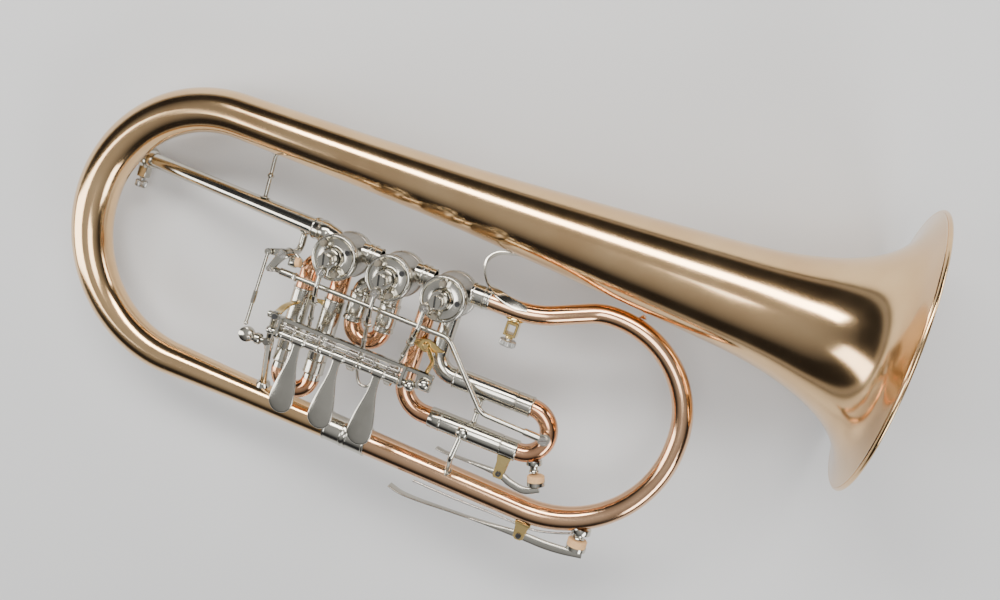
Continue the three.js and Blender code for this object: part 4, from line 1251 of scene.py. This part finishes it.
def make_fittings():
    box = [(-189, -61), (-182, -61), (-182, -53), (-189, -53)]
    hole = [(-187.6, -59.6), (-183.4, -59.6), (-183.4, -54.6), (-187.6, -54.6)]
    piece("lyre_holder", YELLOW, [
        frame_of(box, hole, 6.5, 13.5, 0.3),
        lathe([(0, 0), (4.7, 0), (5.4, 0.9), (5.4, 1.5), (4.6, 1.9), (3.0, 2.3), (2.6, 3.0),
            (2.6, 4.6), (0, 4.6)], (LYRE_X, -49.6, 11.4), (0, -1, -0.15), 44),
        rod((LYRE_X, -60.6, 10), (LYRE_X, -62.6, 10), 2.2, 28)], ["lyre_box"])
    piece("lyre_screw_knob", KNURL, [
        rod((LYRE_X, -61.3, 10), (LYRE_X, -64.2, 10), 1.5, 24),
        lathe([(0, 0), (2.0, 0), (2.2, 0.9), (4.2, 1.0), (4.7, 1.4), (4.7, 4.0), (4.2, 4.5),
            (0, 4.6)], (LYRE_X, -62.4, 10), (0, -1, 0), ripple=34, depth=0.3)],
        ["lyre_screw"], body="lyre_screw_body")
    ring = catmull([(-195.5, -18.7, 3.4), (-201, -19.8, 3.4), (-207.5, -22.2, 4),
            (-211.2, -27.0, 5.6), (-210.4, -32.4, 8.2), (-206.6, -36.9, 11.4),
            (-200.8, -39.0, 15.6), (-195, -40.8, 18.4), (-188, -42.4, 18.6), (-180, -43.0, 17.5)],
        8)
    piece("finger_hook", NICKEL, [
        band(ring, 5.6, 1.2, lambda p: Vector((0, 13.8 - p.z, p.y + 45.6)))], ["finger_ring"])


def frame_of(outer, inner, low, high, bevel):
    """A square tube between two outlines with equal numbers of corners."""
    levels = [(bevel, low), (0, low + bevel), (0, high - bevel), (bevel, high)]
    rings = []
    for outline, inward, steps in ((outer, 1, levels), (inner, -1, levels[::-1])):
        centre = sum((Vector(p) for p in outline), Vector((0, 0))) / len(outline)
        for shrink, height in steps:
            ring = []
            for p in outline:
                x, y = (c - inward * copysign(shrink, c - m) for c, m in zip(p, centre))
                ring.append(Vector((x, y, height)))
            rings.append(ring)
    return skin(rings, closed=True)


def band(points, width, thickness, wide_way):
    """A strap of one width and thickness with rounded ends."""
    return strap(points, lambda t: width * min(1, 0.55 + 6 * min(t, 1 - t)), lambda t: thickness,
        wide_way, 0.4)


# ---- Third-slide trigger

def make_trigger():
    cx, cy = CRANK
    saddle = PIPE_END.lerp(PIPE_START, (PIPE_END.x - cx) / (PIPE_END.x - PIPE_START.x))
    post = route([[cx, saddle.y - 4.4, saddle.z], [cx, cy, saddle.z, 4.5], [cx, cy, 27.2]])
    arm = catmull([(cx, cy, 20.5), (-308.5, cy - 2.4, 20.6), (-305.4, -61.6, 23),
            (-305, -62, 26.8)], 6)
    piece("trigger_stand", NICKEL, [
        sweep(post, 1.95, 28),
        flange((cx, saddle.y - 4.5, saddle.z), (0, -1, 0), 3.3, 0.6, 1.9),
        sweep(arm, 1.2, 20),
        disc(3.1, 1.4, (0.2, 0.2), (0.3, 0.3), (cx, cy, 26.0), UP, 32),
        upright((-305, -62), 26.2, 27.7, 2.0, 24, 0.3),
        slab((-309.8, -63.6, 27.6), (-306.8, -59.4, 32.8), 0.4),
        disc(3.05, 2.6, (0.1, 0.2), (0.25, 0.2), (-308.6, -61.65, 30.2), (4.4, 1.1, 0), 36)],
        ["trigger_post"])
    piece("crank_bumper", CORK, [
        rod((-308, -61.5, 30.2), (-303.6, -60.4, 30.2), 2.55, 36, 0.6)], ["trigger_bumper"])
    pin = (cx - 5, cy - 9.8)
    link_pin = (cx - 9.5, cy - 2)

    def tongue(tip, z, wide, narrow, thick):
        way = (Vector(tip) - Vector((cx, cy))).normalized()
        angle = degrees(atan2(way.y, way.x))
        outline = (arc((cx, cy), wide, angle + 75, angle + 285, 18)
                   + arc(tip, narrow, angle - 80, angle + 80, 12))
        return plate(outline, z, z + thick, 0.3)
    piece("crank_arms", NICKEL, [
        upright((cx, cy), 27.7, 34.9, 2.9, 36, 0.25),
        tongue(pin, 33.2, 2.7, 1.7, 2.1),
        tongue(link_pin, 28.3, 2.9, 1.7, 2.0)], ["trigger_crank"], body="trigger_crank_body")
    piece("crank_screws", STEEL, [
        *slotted_head((cx, cy, 34.85), UP, 2.4, 1.3, 0.45, 0.9),
        *slotted_head((*pin, 35.25), UP, 1.6, 1.1, 0.4, 2.0)], body="trigger_crank_body")
    y, z = TRIGGER_ROD_Y, TRIGGER_ROD_Z
    line = route([[pin[0], y, z], [-213, -70, z, 9], [-184, -102.5, 27.2, 9],
            [THIRD_BOW_X - 1, -104.5, 23.8]])
    end = Vector((THIRD_BOW_X - 1, -104.5, 23.2))
    piece("pull_rod", NICKEL, [
        sweep(line, 1.5, 28),
        upright((pin[0] - 0.4, y), z - 1.3, z + 1.9, 1.9, 28, 0.3),
        rod((pin[0] + 4, y, z), (pin[0] + 12.4, y - 0.07, z), 2.1, 28, 0.35),
        disc(2.5, 1.7, (0.2, 0.3), (0.2, 0.3), (pin[0] + 12.6, y - 0.08, z), ALONG, 6),
        rod(end - Vector((11.5, -0.6, -1.2)), end - Vector((2.4, -0.1, -0.3)), 2.1, 28, 0.35),
        lathe([(0, -3.6), (2.4, -3.6), (3.2, -2.6), (3.5, -1.2), (3.5, 0.9), (3.2, 1.5), (0, 1.6)],
            end, UP, 40)], ["trigger_rod"], body="third_slide_body")
    piece("pull_rod_screw", STEEL, slotted_head(end + UP * 1.5, UP, 2.3, 1.4, 0.5, 0.4),
        body="third_slide_body")
    tx, ty, tz = THUMB
    low = Vector((tx - 3, ty + 8, tz + 7))
    piece("thumb_link_rod", NICKEL, [
        disc(1.95, 1.6, (0.2, 0.2), (0.2, 0.2), (*link_pin, 31.4), UP, 28),
        rod((*link_pin, 32.2), low, 0.95, 20),
        rod(Vector((*link_pin, 32.2)).lerp(low, 0.55), Vector((*link_pin, 32.2)).lerp(low, 0.72),
            1.4, 6),
        ball(low, 1.3, 20)], ["trigger_link"], body="trigger_link_body")
    piece("thumb_piece", NICKEL, [
        lathe([(0, 0), (3.3, 0), (4.1, 0.6), (4.3, 1.6), (4.3, 4.0), (3.9, 4.9), (2.6, 5.5),
            (0, 5.7)], (tx - 3.6, ty, tz - 2.6), UP, 56),
        bar(tx - 1, tx + 2.5, (ty, tz), 2.6, 32),
        disc(3.25, 3, (0.35, 0.4), (0.35, 0.4), (tx + 2, ty, tz), ALONG, 40),
        rod((tx + 1, ty, tz), (tx + 1, ty + 1.2, tz + 7), 1.1, 20),
        ball((tx + 1, ty + 1.2, tz + 7), 1.35, 20)], ["thumb_lever"], body="thumb_lever_body")


# ---- The whole scene

make_bell()
make_wide_ferrule()
make_rear_branch()
make_valves()
make_levers()
make_slides()
make_water_keys()
make_mouthpipe()
make_fittings()
make_trigger()
make_camera()
make_studio()
